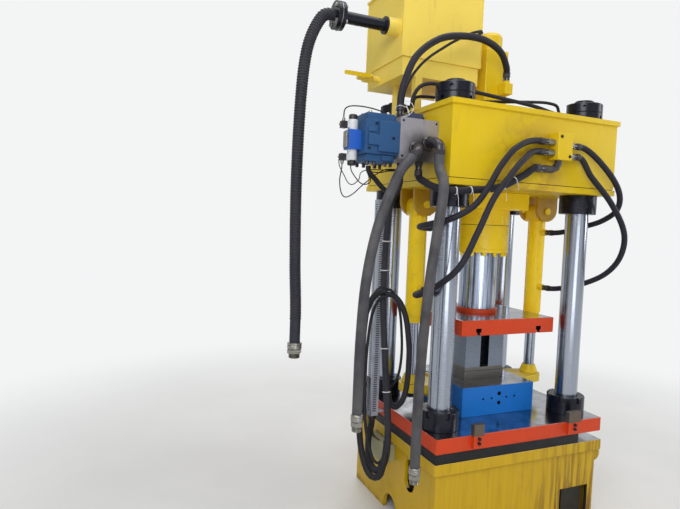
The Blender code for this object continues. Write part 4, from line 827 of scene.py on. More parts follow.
    def piece(self, bevel: float = 0.0, body: Body = Body.FRAME, slot: Slot | None = None) -> bpy.types.Object:
        """Finish the shape as a piece of the press, which stands for the CAD node of its name if there is one.

        Args:
            bevel: Width of its rounded edges.
            body: Body that it rides on.
            slot: Slot other than its first finish's; it is not used.

        Returns:
            The object.
        """
        thing = self.loose()
        if bevel:
            edge = thing.modifiers.new("edges", "BEVEL")
            edge.width, edge.segments, edge.limit_method = bevel, 2, "ANGLE"
            edge.angle_limit, edge.harden_normals = BEVEL_ANGLE, False
        smooth(thing, BEVELLED_EDGE if bevel else PLAIN_EDGE)
        thing.modifiers.new("normals", "WEIGHTED_NORMAL").keep_sharp = True
        data = evaluated_mesh(thing)
        thing.modifiers.clear()
        thing.data = data
        for finish in self.finishes:
            data.materials.append(material_of(finish))
        return mounted(thing, body, self.name)


def smooth(thing: bpy.types.Object, angle: float = 180.0) -> None:
    """Shade an object smooth, but for edges sharper than an angle in degrees.

    Args:
        thing: The object.
        angle: The angle.
    """
    for face in thing.data.polygons:
        face.use_smooth = True
    if angle < 180.0:
        thing.data.set_sharp_from_angle(angle=math.radians(angle))


def mounted(thing: bpy.types.Object, body: Body, node: str = "") -> bpy.types.Object:
    """Ride a finished piece on its body.

    Args:
        thing: The finished object.
        body: Body that it rides on.
        node: CAD node that it stands for, where there is one of that name.

    Returns:
        The object.
    """
    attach(thing, body.value)
    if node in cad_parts:
        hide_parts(node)
    LOG.info("%s: %d faces on %s", thing.name, len(thing.data.polygons), body.value)
    return thing


class Growth(Tree):
    """Geometry Nodes tree with named inputs that ends in real geometry."""

    def __init__(self, name: str, **sizes: float) -> None:
        """Start a tree.

        Args:
            name: The tree's name.
            sizes: Usual value of each named input. A whole number makes a whole-number input.
        """
        super().__init__(bpy.data.node_groups.new(name, "GeometryNodeTree"))
        add = self.tree.interface.new_socket
        add("Geometry", in_out="INPUT", socket_type="NodeSocketGeometry")
        add("Geometry", in_out="OUTPUT", socket_type="NodeSocketGeometry")
        for key, value in sizes.items():
            kind = "NodeSocketInt" if isinstance(value, int) else "NodeSocketFloat"
            add(key, in_out="INPUT", socket_type=kind).default_value = value
        add("Finish", in_out="INPUT", socket_type="NodeSocketMaterial")
        self.start = self.tree.nodes.new("NodeGroupInput")

    def given(self, name: str) -> Wire:
        """One of the named inputs."""
        return Wire(self, self.start.outputs[name])

    def spread(self, points: Wire, instance: Wire, rotation: Wire | None = None) -> None:
        """End the tree in a copy of a mesh on each point, as real geometry with a material.

        Args:
            points: Points to fill.
            instance: Mesh to copy.
            rotation: How each copy is turned.
        """
        inputs = {"Points": points, "Instance": instance}
        if rotation:
            inputs["Rotation"] = rotation
        copies = self.node("GeometryNodeInstanceOnPoints", inputs)
        real = self.node("GeometryNodeRealizeInstances", {"Geometry": copies})
        dressed = self.node("GeometryNodeSetMaterial", {"Geometry": real, "Material": self.given("Finish")})
        self.close("NodeGroupOutput", dressed)

    def grow(self, name: str, seed: bpy.types.Mesh | bpy.types.Curve, finish: Finish,
             **values: float) -> bpy.types.Object:
        """Run the tree on a mesh or curve and keep the result as a plain mesh.

        Args:
            name: The new object's name.
            seed: What the tree starts from.
            finish: Finish of what grows.
            values: Input values by name.

        Returns:
            A plain mesh object that rides on nothing yet.
        """
        thing = linked(name + "_seed", seed)
        change = thing.modifiers.new("grow", "NODES")
        change.node_group = self.tree
        given = {"Finish": material_of(finish), **values}
        for item in self.tree.interface.items_tree:
            if item.in_out == "INPUT" and item.name in given:
                change[item.identifier] = given[item.name]
        result = evaluated_mesh(thing)
        bpy.data.objects.remove(thing)
        return linked(name, result)


class BoltTree(Growth):
    """Bolt heads on washers, one on each point, along the point's facing."""

    def __init__(self) -> None:
        """Build the tree."""
        super().__init__("bolts", Sides=6, Radius=0.01, Height=0.008, Washer=0.014, Seed=7)
        sides, radius, height = self.given("Sides"), self.given("Radius"), self.given("Height")
        head = self.node("GeometryNodeMeshCylinder", {"Vertices": sides, "Radius": radius, "Depth": height}, "Mesh")
        cone = self.node("GeometryNodeMeshCone", {
            "Vertices": sides, "Radius Top": radius * 0.82, "Radius Bottom": radius, "Depth": height * 0.16}, "Mesh")
        washer = self.node("GeometryNodeMeshCylinder", {
            "Vertices": 20, "Radius": self.given("Washer"), "Depth": height * 0.36}, "Mesh")
        joined = self.node("GeometryNodeJoinGeometry")
        for part in (self.raised(head, height * 0.5), self.raised(cone, height), washer):
            self.feed(joined.socket.node.inputs[0], part)
        facing = self.node("GeometryNodeInputNamedAttribute", {"Name": "facing"}, data_type="FLOAT_VECTOR")
        turn = self.node("FunctionNodeAlignRotationToVector", {"Vector": facing}, axis="Z")
        spin = self.node("FunctionNodeRandomValue", {3: 6.28, "Seed": self.given("Seed")}, 1, data_type="FLOAT")
        about = self.node("FunctionNodeAxisAngleToRotation", {"Axis": (0, 0, 1), "Angle": spin})
        both = self.node("FunctionNodeRotateRotation", {"Rotation": turn, "Rotate By": about}, rotation_space="LOCAL")
        self.spread(self.given("Geometry"), joined, both)

    def raised(self, mesh: Wire, height: Wire) -> Wire:
        """A mesh moved up by a height."""
        lift = self.node("ShaderNodeCombineXYZ", {"Z": height})
        return self.node("GeometryNodeTransform", {"Geometry": mesh, "Translation": lift})

    def place(self, name: str, finish: Finish, facing: Point, seats: Sequence[Point], radius: float, height: float,
              sides: int = 6, washer: float = 1.35, body: Body = Body.FRAME) -> None:
        """Set a group of bolts.

        Args:
            name: The piece's name.
            finish: Finish of the bolts.
            facing: Way that their heads point.
            seats: Middle of each bolt's seat.
            radius: Head radius.
            height: Head height.
            sides: Sides of each head.
            washer: Washer radius in head radii.
            body: Body that they ride on.
        """
        seed = bpy.data.meshes.new(name)
        seed.from_pydata(list(seats), [], [])
        for entry in seed.attributes.new("facing", "FLOAT_VECTOR", "POINT").data:
            entry.vector = facing
        thing = self.grow(name, seed, finish, Sides=sides, Radius=radius, Height=height, Washer=radius * washer)
        smooth(thing, BOLT_EDGE)
        mounted(thing, body)


class RibTree(Growth):
    """Round ribs across a curve at even steps."""

    def __init__(self) -> None:
        """Build the tree."""
        super().__init__("ribs", Step=0.014, Radius=0.028, Wire=0.003, Around=28, Section=6)
        ring, wire = (
            self.node("GeometryNodeCurvePrimitiveCircle", {
                "Resolution": self.given(count), "Radius": self.given(radius)})
            for count, radius in (("Around", "Radius"), ("Section", "Wire")))
        rib = self.node("GeometryNodeCurveToMesh", {"Curve": ring, "Profile Curve": wire})
        points = self.node("GeometryNodeCurveToPoints", {
            "Curve": self.given("Geometry"), "Length": self.given("Step")}, "Points", mode="LENGTH")
        self.spread(points, rib, points.other("Rotation"))

    def along(self, name: str, path: Sequence[Vector], step: float, radius: float, wire: float,
              finish: Finish) -> bpy.types.Object:
        """Grow ribs along a path.

        Args:
            name: Name of the new object.
            path: Points to follow.
            step: Distance between ribs.
            radius: Radius of each rib's middle line.
            wire: Half of a rib's width.
            finish: Finish of the ribs.

        Returns:
            A plain mesh object that rides on nothing yet.
        """
        curve = bpy.data.curves.new(name, "CURVE")
        curve.dimensions = "3D"
        spline = curve.splines.new("POLY")
        spline.points.add(len(path) - 1)
        for point, place in zip(spline.points, path):
            point.co = (*place, 1.0)
        thing = self.grow(name, curve, finish, Step=step, Radius=radius, Wire=wire)
        smooth(thing)
        return thing


class SlotTree(Growth):
    """Small blocks at even steps along straight edges."""

    def __init__(self) -> None:
        """Build the tree."""
        super().__init__("slots", Step=0.0125, Width=0.02, Depth=0.001, Height=0.006)
        size = self.node("ShaderNodeCombineXYZ", {
            "X": self.given("Width"), "Y": self.given("Depth"), "Z": self.given("Height")})
        block = self.node("GeometryNodeMeshCube", {"Size": size}, "Mesh")
        edge = self.node("GeometryNodeMeshToCurve", {"Mesh": self.given("Geometry")})
        points = self.node("GeometryNodeCurveToPoints", {
            "Curve": edge, "Length": self.given("Step")}, "Points", mode="LENGTH")
        self.spread(points, block)

    def between(self, name: str, start: Point, end: Point, step: float, size: Point,
                finish: Finish) -> bpy.types.Object:
        """Grow blocks from one point to another.

        Args:
            name: Name of the new object.
            start: First block's middle.
            end: Where the row ends.
            step: Distance between blocks.
            size: Size of each block along the axes.
            finish: Finish of the blocks.

        Returns:
            A plain mesh object that rides on nothing yet.
        """
        seed = bpy.data.meshes.new(name)
        seed.from_pydata([start, end], [(0, 1)], [])
        return self.grow(name, seed, finish, Step=step, Width=size[0], Depth=size[1], Height=size[2])


@dataclass
class Assembly:
    """Sub-assembly that is held together by bolts."""

    bolts: BoltTree


def join(first: bpy.types.Object, second: bpy.types.Object) -> None:
    """Merge a plain mesh object into another, with its materials.

    Args:
        first: Object that grows.
        second: Object that is used up.
    """
    with bpy.context.temp_override(active_object=first, selected_editable_objects=[first, second]):
        bpy.ops.object.join()


def smooth_path(stops: Sequence[Point | Vector], spacing: float) -> list[Vector]:
    """Evenly spaced points on a smooth curve whose first and last spans are straight.

    Args:
        stops: Points that the curve passes.
        spacing: Distance between points.

    Returns:
        The points.
    """
    stops = [Vector(stop) for stop in stops]
    slopes = [stops[1] - stops[0]]
    slopes += [after - before for before, after in zip(stops[1:], stops[3:-1])]
    slopes.append(stops[-1] - stops[-2])
    slopes = [slope.normalized() for slope in slopes]
    middle = stops[1:-1]
    fine = [middle[0]]
    for start, end, leave, arrive in zip(middle, middle[1:], slopes, slopes[1:]):
        reach = (end - start).length / 3
        fine += interpolate_bezier(start, start + leave * reach, end - arrive * reach, end, 17)[1:]
    travelled = [0.0]
    for before, after in zip(fine, fine[1:]):
        travelled.append(travelled[-1] + (after - before).length)
    count = max(2, round(travelled[-1] / spacing))
    path, index = [stops[0]], 0
    for step in range(count + 1):
        want = travelled[-1] * step / count
        while index < len(fine) - 2 and travelled[index + 1] < want:
            index += 1
        share = (want - travelled[index]) / (travelled[index + 1] - travelled[index])
        path.append(fine[index].lerp(fine[index + 1], share))
    return [*path, stops[-1]]


def tie(shape: Shape, path: Sequence[Vector], share: float, radius: float, tail: Point) -> None:
    """Add a cable tie round a path.

    Args:
        shape: Shape that the tie is added to.
        path: Path that the tie holds.
        share: How far along the path it sits, from 0 to 1.
        radius: Radius of what it holds.
        tail: Way that its loose end points.
    """
    index = min(len(path) - 2, max(1, round(share * (len(path) - 1))))
    middle, way = path[index], (path[index + 1] - path[index - 1]).normalized()
    shape.turned(middle, [(radius - 0.001, -0.002), (radius + 0.0014, -0.002), (radius + 0.0014, 0.002),
                          (radius - 0.001, 0.002)], way, 24, loop=True)
    out = way.cross(Vector(tail)).normalized()
    out = -out if out.y > 0 else out
    foot = middle + out * (radius + 0.001)
    shape.tube([foot, foot + Vector(tail) * 0.5 + out * 0.006, foot + Vector(tail)], 0.001, 6)


def path_length(path: Sequence[Vector]) -> float:
    """Length of a row of points."""
    return sum((after - before).length for before, after in zip(path, path[1:]))


@dataclass
class Studio:
    """Camera at the photograph's place, soft lights, pale floor and surroundings."""

    place: Point = (-1.9551, -2.554, 1.6)
    yaw: float = 0.3985
    pitch: float = -0.056
    roll: float = 0.0393
    focal_share: float = 533.1 / 680
    floor_half: float = 14.0
    pale: tuple[float, float, float, float] = (0.9, 0.905, 0.91, 1.0)

    def camera(self) -> None:
        """Place the camera."""
        forward = Vector((math.sin(self.yaw) * math.cos(self.pitch), math.cos(self.yaw) * math.cos(self.pitch),
                          math.sin(self.pitch)))
        level = Vector((math.cos(self.yaw), -math.sin(self.yaw), 0.0))
        upright = level.cross(forward)
        right = math.cos(self.roll) * level + math.sin(self.roll) * upright
        above = -math.sin(self.roll) * level + math.cos(self.roll) * upright
        data = bpy.data.cameras.new("camera")
        data.sensor_width, data.sensor_fit, data.lens = 36.0, "HORIZONTAL", 36.0 * self.focal_share
        thing = linked("camera", data)
        turn = Matrix((right, above, -forward)).transposed().to_4x4()
        thing.matrix_world = Matrix.Translation(Vector(self.place)) @ turn
        bpy.context.scene.camera = thing

    def lamp(self, name: str, place: Point, aim: Point, size: tuple[float, float], power: float,
             colour: Colour = (1.0, 1.0, 1.0)) -> None:
        """Add a rectangular soft light.

        Args:
            name: The light's name.
            place: Where it hangs.
            aim: Point that it faces.
            size: Width and height.
            power: Watts.
            colour: Its colour.
        """
        data = bpy.data.lights.new(name, "AREA")
        data.shape, data.size, data.size_y = "RECTANGLE", size[0], size[1]
        data.energy, data.color = power, colour
        thing = linked(name, data)
        thing.location = place
        thing.rotation_euler = (Vector(aim) - Vector(place)).to_track_quat("-Z", "Y").to_euler()

    def lights(self) -> None:
        """Hang the lights."""
        self.lamp("window_light", (-3.4, -3.6, 3.6), (0.0, 0.0, 1.2), (2.6, 2.2), 118.0, (1.0, 0.985, 0.96))
        self.lamp("right_light", (4.2, -2.0, 3.0), (0.1, 0.0, 1.3), (1.2, 3.2), 66.0, (0.97, 0.985, 1.0))
        self.lamp("front_light", (-1.2, -4.3, 1.1), (0.0, 0.0, 1.35), (2.2, 1.4), 24.0)
        self.lamp("back_light", (1.2, 4.2, 3.6), (0.0, 0.0, 1.6), (3.0, 1.6), 85.0)
        self.lamp("roof_light", (-0.2, -0.4, 5.2), (0.0, 0.0, 1.0), (3.6, 2.6), 75.0)

    def world(self) -> None:
        """Make surroundings that are pale to the camera and softly banded in gloss."""
        world = bpy.data.worlds.new("surroundings")
        bpy.context.scene.world = world
        world.use_nodes = True
        world.node_tree.nodes.clear()
        tree = Tree(world.node_tree)
        across = tree.node("ShaderNodeSeparateXYZ", {0: tree.node("ShaderNodeTexCoord", output="Generated")})
        angle = across.other("Y").maths("ARCTAN2", across)
        share = tree.node("ShaderNodeMapRange", {"Value": angle, "From Min": -math.pi, "From Max": math.pi})
        stops = [(0.0, 0.55), (0.06, 1.0), (0.12, 0.35), (0.19, 0.1), (0.25, 0.75), (0.3, 1.05), (0.36, 0.22),
                 (0.42, 0.12), (0.5, 0.85), (0.58, 0.95), (0.66, 0.35), (0.74, 0.88), (0.84, 0.8), (0.93, 0.3)]
        bands = tree.node("ShaderNodeValToRGB", {0: share}, stops=[
            (position, (light * 0.97, light * 0.985, light)) for position, light in stops])
        camera = tree.node("ShaderNodeLightPath", output="Is Camera Ray")
        gloss = tree.node("ShaderNodeBackground", {"Color": bands})
        fill = tree.node("ShaderNodeBackground", {"Color": (0.93, 0.96, 1.0, 1.0), "Strength": 0.42})
        pale = tree.node("ShaderNodeBackground", {"Color": self.pale})
        seen = tree.node("ShaderNodeMixShader", {0: camera.other("Is Glossy Ray"), 1: fill, 2: gloss})
        clear = camera.larger(camera.other("Is Transmission Ray"))
        tree.close("ShaderNodeOutputWorld", tree.node("ShaderNodeMixShader", {0: clear, 1: seen, 2: pale}))

    def floor(self) -> None:
        """Lay a pale floor."""
        recipe = Recipe("pale_floor")
        cloudy = recipe.noise(0.8, 5.0)
        speckle = recipe.noise(60.0, 3.0)
        colour = recipe.blend(cloudy.ramp(0.3, 0.7), rgb(222, 221, 218), rgb(214, 213, 211))
        colour = recipe.blend(speckle.ramp(0.62, 0.8) * 0.15, colour, rgb(190, 189, 186))
        material = recipe.finish(Base_Color=colour, Roughness=cloudy.ramp(0.3, 0.7, 0.55, 0.7))
        camera = recipe.node("ShaderNodeLightPath", output="Is Camera Ray")
        far = recipe.away((0.0, 0.0, 0.0)).ramp(1.6, 4.6) * camera.larger(camera.other("Is Glossy Ray"))
        glow = recipe.node("ShaderNodeEmission", {"Color": self.pale})
        mixed = recipe.node("ShaderNodeMixShader", {0: far, 1: Wire(recipe, recipe.shader.outputs[0]), 2: glow})
        recipe.feed(recipe.tree.nodes["Material Output"].inputs["Surface"], mixed)
        half = self.floor_half
        data = bpy.data.meshes.new("floor")
        data.from_pydata([(-half, -half, 0), (half, -half, 0), (half, half, 0), (-half, half, 0)], [], [(0, 1, 2, 3)])
        data.materials.append(material)
        linked("floor", data)

    def build(self) -> None:
        """Set up the whole studio."""
        scene = bpy.context.scene
        scene.view_settings.view_transform = "Standard"
        self.camera()
        self.lights()
        self.world()
        self.floor()


def beyond(place: Point, x: float = 0.0, y: float = 0.0, z: float = 0.0) -> Point:
    """Point a step away from another."""
    return (place[0] + x, place[1] + y, place[2] + z)


class Hosing(Enum):
    """Kinds of hose end on the press."""

    CRIMPED = "crimped ferrule and hexagon"
    CLAMPED = "band clamp"


@dataclass
class HeldHose:
    """Hose that is fixed at both ends."""

    name: str
    stops: Sequence[Point]
    radius: float
    finish: Finish = Finish.HOSE
    ends: Hosing = Hosing.CRIMPED
    ferrule: float = 0.048
    ribs: float = 0.0

    def path(self) -> list[Vector]:
        """Points on the hose's middle line."""
        return smooth_path(self.stops, self.radius * 0.9)

    def build(self, ribs: RibTree) -> None:
        """Make the hose, its ferrules and its ribs.

        Args:
            ribs: Tree that grows the ribs.
        """
        path = self.path()
        body = Shape(self.name, self.finish)
        body.tube(path, self.radius * (0.86 if self.ribs else 1.0), 24)
        hose = body.piece()
        if self.ribs:
            join(hose, ribs.along(self.name + "_ribs", path, self.ribs, self.radius * 0.86, self.radius * 0.14,
                                  self.finish))
        steel = Shape(self.name + "_ends", Finish.FITTING)
        size = self.radius
        for end, way in ((path[0], path[1] - path[0]), (path[-1], path[-2] - path[-1])):
            if self.ends is Hosing.CRIMPED:
                long = self.ferrule
                steel.turned(end, [
                    (size * 1.02, 0.0005), (size * 1.1, 0.003), (size * 1.1, 0.014),
                    (size * 1.02, 0.017)], way, 6, Finish.ZINC)
                steel.turned(end, [
                    (size * 0.8, 0.016), (size * 0.8, 0.02), (size * 1.14, 0.022),
                    (size * 1.16, 0.026), (size * 1.1, 0.028), (size * 1.16, 0.031), (size * 1.1, 0.034),
                    (size * 1.16, 0.037), (size * 1.16, long - 0.004), (size * 1.08, long)], way, 28)
            else:
                steel.turned(end, [
                    (size * 1.15, 0.0005), (size * 1.18, 0.002), (size * 1.18, 0.018), (size * 1.08, 0.022)], way, 28)
        steel.piece(slot=Slot.BRIGHT)


@dataclass
class FreeHose:
    """Hose that hangs from the press with a coupling on its end."""

    name: str
    stops: Sequence[Point]
    radius: float
    finish: Finish
    ribs: float = 0.0
    drop: float = 0.08

    def build(self, ribs: RibTree) -> None:
        """Args:
            ribs: Tree that grows the ribs.
        """
        path = smooth_path(self.stops, self.radius * 0.7)
        body = Shape(self.name, self.finish)
        body.tube(path, self.radius * (0.9 if self.ribs else 1.0), 32)
        hose = body.piece()
        if self.ribs:
            join(hose, ribs.along(self.name + "_ribs", path[1:-1], self.ribs, self.radius * 0.88,
                                  self.radius * 0.12, self.finish))
        end, size = path[-1], self.radius
        steel = Shape(self.name.replace("hose", "coupling"), Finish.ZINC)
        bore = size * 0.6
        steel.turned(end, [
            (bore, 0.0004), (size * 1.12, 0.0004), (size * 1.22, 0.004), (size * 1.22, 0.01), (size * 1.16, 0.012),
            (size * 1.22, 0.015), (size * 1.22, 0.03), (size * 1.05, 0.034), (bore, 0.034)], DOWN, 36, loop=True)
        steel.turned(end, [(bore, 0.0345), (size * 1.2, 0.0345), (size * 1.25, 0.037), (size * 1.25, 0.053),
                           (size * 1.2, 0.0555), (bore, 0.0555)], DOWN, 6, loop=True)
        thread = [(size * (0.95 if step % 2 else 0.9), 0.056 + step * 0.0011) for step in range(20)]
        steel.turned(end, [(bore, 0.056), *thread, (size * 0.88, self.drop - 0.001), (bore, self.drop - 0.001)],
                     DOWN, 36, loop=True)
        coupling = steel.piece()
        path_length(path)
        2 * self.radius


@dataclass
class Hoses:
    """Every hose, the conduit, the cables and their ties."""

    gap: float = 0.0003
    lift: float = 0.015
    large: float = 0.0175
    supply: float = 0.0235
    returning: float = 0.03
    barrel_port: float = -0.086
    right_upper: Point = (0.185, -0.4728, 2.045)
    right_lower: Point = (0.185, -0.4728, 1.992)
    left_upper: Point = (0.015, -0.4728, 2.052)
    left_lower: Point = (0.015, -0.4728, 2.0)
    bundle: Point = (-0.01, -0.4778, 1.917)
    pressure: Point = (-0.7, -0.25, 2.14)
    drain: Point = (-0.655, -0.19, 2.135)
    bundle_end: Point = (-0.6, -0.28, 1.898)
    conduit: Point = (-0.64, -0.17, 1.898)
    supply_b: Point = (-0.705, -0.405, 1.925)
    supply_c: Point = (-0.585, -0.435, 1.94)
    prefill: Point = (0.03, -0.12, 2.43)
    tank_port: Point = (-0.165, -0.102, 2.655)

    def lift_hoses(self) -> list[HeldHose]:
        """The four hoses to the lift cylinders.

        Returns:
            The hoses.
        """
        gap, radius = self.gap, self.lift
        right, left = self.right_upper[0] + gap, self.left_upper[0] - gap
        ends = {(side, height): (side * LIFT_X, self.barrel_port - gap, height)
                for side in (-1, 1) for height in (1.6, 1.27)}
        return [
            HeldHose("right_upper_hose", [
                (right, *self.right_upper[1:]), beyond(self.right_upper, 0.05), (0.35, -0.5, 1.975),
                (0.492, -0.5, 1.845), (0.57, -0.44, 1.745), (0.578, -0.34, 1.68), (0.545, -0.23, 1.64),
                (0.47, -0.165, 1.608), beyond(ends[1, 1.6], y=-0.045), ends[1, 1.6]], radius),
            HeldHose("right_lower_hose", [
                (right, *self.right_lower[1:]), beyond(self.right_lower, 0.04), (0.31, -0.485, 1.9),
                (0.456, -0.5, 1.76), (0.56, -0.5, 1.61), (0.595, -0.455, 1.48), (0.59, -0.37, 1.38),
                (0.545, -0.255, 1.31), (0.475, -0.17, 1.276), beyond(ends[1, 1.27], y=-0.045), ends[1, 1.27]],
                radius),
            HeldHose("left_upper_hose", [
                (left, *self.left_upper[1:]), beyond(self.left_upper, -0.05), (-0.19, -0.5, 2.005),
                (-0.289, -0.506, 1.905), (-0.345, -0.506, 1.815), (-0.42, -0.5, 1.715), (-0.51, -0.455, 1.65),
                (-0.572, -0.355, 1.618), (-0.552, -0.235, 1.605), (-0.47, -0.165, 1.6),
                beyond(ends[-1, 1.6], y=-0.045), ends[-1, 1.6]], radius),
            HeldHose("left_lower_hose", [
                (left, *self.left_lower[1:]), beyond(self.left_lower, -0.05), (-0.165, -0.52, 1.945),
                (-0.27, -0.54, 1.845), (-0.345, -0.54, 1.75), (-0.425, -0.54, 1.59), (-0.5, -0.52, 1.43),
                (-0.565, -0.44, 1.33), (-0.592, -0.33, 1.275), (-0.55, -0.225, 1.262), (-0.47, -0.165, 1.268),
                beyond(ends[-1, 1.27], y=-0.045), ends[-1, 1.27]], radius),
        ]

    def crown_hoses(self) -> list[HeldHose]:
        """The hoses and conduit that leave the valve block.

        Returns:
            The hoses and the conduit.
        """
        gap = self.gap
        duct = (-0.6, 0.105, 0.5297)
        return [
            HeldHose("hose_bundle", [
                beyond(self.bundle, -gap), beyond(self.bundle, -0.04), (-0.11, -0.47, 1.88),
                (-0.265, -0.47, 1.808), (-0.43, -0.47, 1.785), (-0.52, -0.464, 1.778), (-0.57, -0.425, 1.786),
                (-0.597, -0.35, 1.815), beyond(self.bundle_end, z=-0.035), beyond(self.bundle_end, z=-gap)],
                self.large),
            HeldHose("pressure_hose", [
                beyond(self.pressure, z=gap), beyond(self.pressure, z=0.06), (-0.665, -0.235, 2.33),
                (-0.6, -0.222, 2.45), (-0.48, -0.222, 2.545), (-0.35, -0.222, 2.582), (-0.2, -0.21, 2.59),
                (-0.07, -0.18, 2.56), (0.01, -0.14, 2.5), beyond(self.prefill, z=0.03),
                beyond(self.prefill, z=gap)], self.large),
            HeldHose("drain_hose", [
                beyond(self.drain, z=gap), beyond(self.drain, z=0.04), (-0.63, -0.175, 2.3),
                (-0.54, -0.165, 2.43), (-0.4, -0.155, 2.54), (-0.27, -0.16, 2.62), (-0.185, -0.155, 2.655),
                beyond(self.tank_port, y=-0.025), beyond(self.tank_port, y=-gap)], 0.007, ferrule=0.04),
            HeldHose("conduit_loop", [
                beyond(self.conduit, z=-gap), beyond(self.conduit, z=-0.06), (-0.648, -0.09, 1.7),
                (-0.655, -0.075, 1.25), (-0.655, -0.13, 0.88), (-0.655, -0.19, 0.56), (-0.658, -0.18, 0.4),
                (-0.662, -0.1, 0.305), (-0.655, 0.01, 0.315), (-0.628, 0.08, 0.41), beyond(duct, z=-0.045),
                duct], 0.019, Finish.DARK_HOSE, Hosing.CLAMPED, ribs=0.0095),
        ]

    def free_hoses(self) -> list[FreeHose]:
        """The three hoses that hang from the press.

        Returns:
            The hoses.
        """
        gap = self.gap
        down = math.sqrt(0.5) * gap
        start = (-0.9703, -0.02, 2.64)
        return [
            FreeHose("return_hose", [
                start, beyond(start, -0.03), (-1.062, -0.02, 2.575), (-1.108, -0.02, 2.44),
                (-1.13, -0.02, 2.2), (-1.138, -0.02, 1.8), (-1.13, -0.02, 1.4), (-1.118, -0.02, 1.12),
                (-1.118, -0.02, 1.0)], self.returning, Finish.DARK_HOSE, 0.0135),
            FreeHose("supply_hose_b", [
                beyond(self.supply_b, -down, z=-down), beyond(self.supply_b, -0.035, z=-0.035),
                (-0.815, -0.425, 1.775), (-0.89, -0.435, 1.58), (-0.935, -0.44, 1.35), (-0.95, -0.44, 1.1),
                (-0.952, -0.44, 0.86), (-0.952, -0.44, 0.76)], self.supply, Finish.DUSTY_HOSE),
            FreeHose("supply_hose_c", [
                beyond(self.supply_c, z=-gap), beyond(self.supply_c, z=-0.04), (-0.59, -0.492, 1.8),
                (-0.622, -0.51, 1.6), (-0.652, -0.51, 1.35), (-0.67, -0.5, 1.0), (-0.672, -0.492, 0.6),
                (-0.672, -0.492, 0.5)], self.supply, Finish.DUSTY_HOSE),
        ]

    def hanging_cables(self) -> list[tuple[float, list[Point]]]:
        """Radius and stops of the cables that hang in loops beside the conduit.

        Returns:
            A radius and stops for each cable.
        """
        return [
            (0.0165, [
                (-0.652, -0.1, 1.262), (-0.662, -0.094, 1.262), (-0.708, -0.04, 1.205), (-0.735, -0.01, 1.05),
                (-0.744, -0.01, 0.8), (-0.744, -0.03, 0.56), (-0.738, -0.06, 0.41), (-0.712, -0.11, 0.298),
                (-0.684, -0.16, 0.3), (-0.672, -0.192, 0.39), (-0.66, -0.19, 0.48), (-0.658, -0.189, 0.5)]),
            (0.008, [
                (-0.652, -0.11, 1.235), (-0.66, -0.106, 1.235), (-0.698, -0.06, 1.165), (-0.716, -0.04, 1.0),
                (-0.722, -0.04, 0.76), (-0.722, -0.06, 0.56), (-0.712, -0.1, 0.44), (-0.69, -0.15, 0.372),
                (-0.664, -0.18, 0.43), (-0.66, -0.183, 0.45)]),
            (0.0065, [
                (-0.65, -0.085, 1.28), (-0.658, -0.08, 1.28), (-0.69, -0.02, 1.225), (-0.704, 0.01, 1.08),
                (-0.706, 0.02, 0.86), (-0.7, 0.03, 0.68), (-0.68, 0.06, 0.56), (-0.652, 0.082, 0.5),
                (-0.64, 0.088, 0.48)]),
            (0.0145, [
                (-0.652, -0.104, 1.246), (-0.644, -0.112, 1.248), (-0.596, -0.18, 1.19), (-0.574, -0.22, 1.02),
                (-0.572, -0.226, 0.86), (-0.585, -0.215, 0.73), (-0.612, -0.18, 0.668), (-0.636, -0.166, 0.69),
                (-0.642, -0.16, 0.73), (-0.643, -0.16, 0.75)]),
            (0.007, [
                (-0.652, -0.098, 1.27), (-0.646, -0.104, 1.272), (-0.608, -0.15, 1.205), (-0.592, -0.176, 1.05),
                (-0.592, -0.18, 0.9), (-0.606, -0.16, 0.8), (-0.63, -0.13, 0.77), (-0.64, -0.128, 0.79)]),
        ]

    def cables(self) -> None:
        """Cables in loops, the thin wires to the terminal box, and the ties."""
        bunch = Shape("cable_loops", Finish.WIRE)
        for radius, stops in self.hanging_cables():
            bunch.tube(smooth_path(stops, radius * 1.4), radius, 14)
        for step in range(6):
            drift = 0.01 * step
            bunch.tube(smooth_path([
                (-0.676, -0.01 + drift, 0.78), (-0.676, -0.01 + drift, 0.76), (-0.668 - drift * 0.3, drift, 0.64),
                (-0.65, 0.01 + drift * 1.6, 0.52), (-0.62, 0.02 + drift * 2.0, 0.44),
                (-0.59, 0.026 + drift * 2.0, 0.412), (-0.58, 0.026 + drift * 2.0, 0.4072)], 0.01), 0.0019, 6)
        bunch.piece()
        ties = Shape("cable_ties", Finish.TIE)
        held = {hose.name: hose for hose in self.crown_hoses()}
        conduit, bundle = held["conduit_loop"], held["hose_bundle"]
        for share in (0.18, 0.26, 0.47, 0.58):
            tie(ties, conduit.path(), share, conduit.radius + 0.0005, (0.0, -0.012, 0.006))
        for share, drop in ((0.2, 0.034), (0.3, 0.046), (0.42, 0.06), (0.55, 0.04), (0.66, 0.052)):
            tie(ties, bundle.path(), share, bundle.radius + 0.0005, (0.006, -0.01, -drop * 1.6))
        port = Vector(self.pressure)
        for radius, shift, axis in ((0.034, (0.01, -0.004, 0.022), (0.5, 0.3, 1.0)),
                                    (0.042, (0.02, -0.008, 0.03), (-0.9, -1.0, 0.5)),
                                    (0.03, (0.03, -0.02, 0.028), (1.0, -0.6, 0.4))):
            ties.turned(port + Vector(shift), [
                (radius, -0.0012), (radius + 0.0022, 0.0), (radius, 0.0012)], axis, 36, loop=True)
        ties.piece()

    def build(self) -> None:
        """Make every hose."""
        ribs = RibTree()
        for hose in (*self.lift_hoses(), *self.crown_hoses(), *self.free_hoses()):
            hose.build(ribs)
        self.cables()


